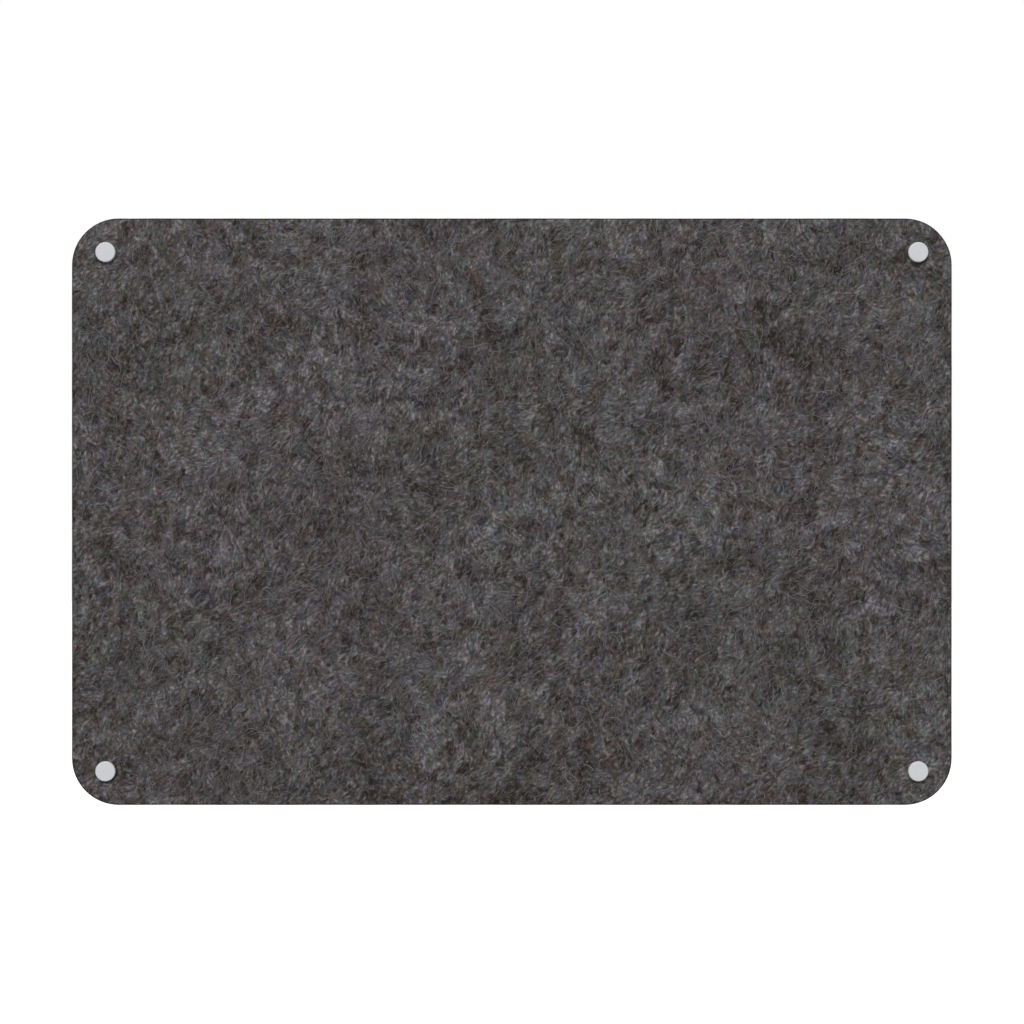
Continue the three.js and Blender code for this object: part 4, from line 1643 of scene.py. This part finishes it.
tooth_length = (PLUG_TEETH_END - PLUG_NECK_END) / PLUG_TOOTH_COUNT
plug_outline = [
    (BUSH_BORE, PLUG_RIM_FRONT, PLUG_ROUND),
    (PLUG_RIM_RADIUS, PLUG_RIM_FRONT, PLUG_ROUND),
    (PLUG_RIM_RADIUS, 0, PLUG_ROUND),
    (PLUG_RADIUS, 0, 0),
]
for tooth in range(PLUG_TOOTH_COUNT):
    height = PLUG_NECK_END + tooth * tooth_length
    plug_outline.append((PLUG_RADIUS, height, PLUG_ROUND))
    plug_outline.append((PLUG_ROOT, height, PLUG_ROUND))
plug_outline += [
    (PLUG_RADIUS, PLUG_TEETH_END, PLUG_ROUND),
    (PLUG_ROOT, PLUG_END, PLUG_ROUND),
    (BUSH_BORE, PLUG_END, 0),
]
plug_shape = piece_from("plug_shape", turned("wall_plug", plug_outline, PLUG_SIDES))
for turn in (0, math.pi):
    fin_low = (-FIN_WIDTH / 2, FIN_START, PLUG_RADIUS - FIN_SINK)
    fin_mesh = block("fin", fin_low, (FIN_WIDTH / 2, FIN_END, FIN_REACH), turn)
    combined(plug_shape, piece_from("fin", fin_mesh), "UNION")
slot_mesh = block(
    "slot",
    (-PLUG_RIM_RADIUS, PLUG_NECK_END, -PLUG_SLOT / 2),
    (PLUG_RIM_RADIUS, PLUG_END + PLUG_SLOT_OVERRUN, PLUG_SLOT / 2),
)
combined(plug_shape, piece_from("slot", slot_mesh), "DIFFERENCE")
plug_mesh = finished_mesh(plug_shape, SHARP_ANGLE)

# %% Finish the plugs and fit them
PLUG_COLOURS = (screen_colour(141, 144, 146), screen_colour(172, 175, 177), screen_colour(158, 152, 142))
PLUG_ROUGHNESS = 0.5
PLUG_GRAIN = 0.00035
PLUG_GRAIN_DEPTH = 0.00003
PLUG_CLOUD = 0.005
PLUG_CLOUD_SHARE = 0.06
plug_material = plastic(
    "grey_plug_nylon", PLUG_COLOURS, PLUG_ROUGHNESS,
    PLUG_GRAIN, PLUG_GRAIN_DEPTH, PLUG_CLOUD, PLUG_CLOUD_SHARE,
)
at_each_fixing("plug", plug_mesh, plug_material, "wall_plug", "board", 0.0)

# %% [markdown]
# ## Floor, light and background
# The board hangs with its middle above the floor, and the photograph's ground is plain white. A
# pale floor and a white world give that: where the camera looks at them they are white, and to
# the board they are only even daylight. One soft lamp, in front and above and a little to the left,
# draws the thin shadows under the caps. A weaker one behind keeps the back of the board readable.

# %% Make the floor
FLOOR_LEVEL = -1.2
FLOOR_HALF = 30.0
FLOOR_COLOUR = (0.5, 0.5, 0.5, 1.0)
FLOOR_GLOW = 0.80
FLOOR_ROUGHNESS = 0.9
WHITE = (1.0, 1.0, 1.0, 1.0)

ways = ((-1, -1), (1, -1), (1, 1), (-1, 1))
corners = [(across * FLOOR_HALF, deep * FLOOR_HALF, FLOOR_LEVEL) for across, deep in ways]
floor_material, tree, floor_shader = new_material("pale_floor")
floor = piece_from("floor", mesh_from("floor", corners, [(0, 1, 2, 3)]), floor_material)


def seen_directly(tree):
    """1 where the camera, a mirror or glass looks, 0 for the light that falls on things."""
    path = add_node(tree, "LightPath")
    seen = maths(tree, "MAXIMUM", path.outputs["Is Camera Ray"], path.outputs["Is Glossy Ray"])
    return maths(tree, "MAXIMUM", seen, path.outputs["Is Transmission Ray"])


glow = maths(tree, "MULTIPLY", seen_directly(tree), FLOOR_GLOW)
values = {"Base Color": FLOOR_COLOUR, "Roughness": FLOOR_ROUGHNESS}
fill_inputs(tree, floor_shader, {**values, "Emission Color": WHITE, "Emission Strength": glow})
print("the floor lies", -FLOOR_LEVEL, "m below the middle of the board")

# %% Light the world
WORLD_LIGHT = 0.27

world = bpy.data.worlds.new("white_studio")
world.use_nodes = True
bpy.context.scene.world = world
tree = world.node_tree
extra = maths(tree, "MULTIPLY", seen_directly(tree), 1.0 - WORLD_LIGHT)
strength = maths(tree, "ADD", extra, WORLD_LIGHT)
fill_inputs(tree, tree.nodes["Background"], {"Color": WHITE, "Strength": strength})
print("the world lights the board at", WORLD_LIGHT)


# %% Hang the lamps
def sun_lamp(name, strength, spread, came_from):
    lamp = bpy.data.lights.new(name, "SUN")
    lamp.energy = strength
    lamp.angle = spread
    piece = bpy.data.objects.new(name, lamp)
    piece.rotation_euler = Vector(came_from).to_track_quat("Z", "Y").to_euler()
    bpy.context.scene.collection.objects.link(piece)
    print(name, "shines at", strength)


KEY_FROM = (-0.18, -1.0, 0.80)
KEY_STRENGTH = 2.35
KEY_SPREAD = math.radians(32)
BACK_FROM = (0.5, 1.0, 0.7)
BACK_STRENGTH = 0.9
BACK_SPREAD = math.radians(30)
sun_lamp("key_lamp", KEY_STRENGTH, KEY_SPREAD, KEY_FROM)
sun_lamp("back_lamp", BACK_STRENGTH, BACK_SPREAD, BACK_FROM)
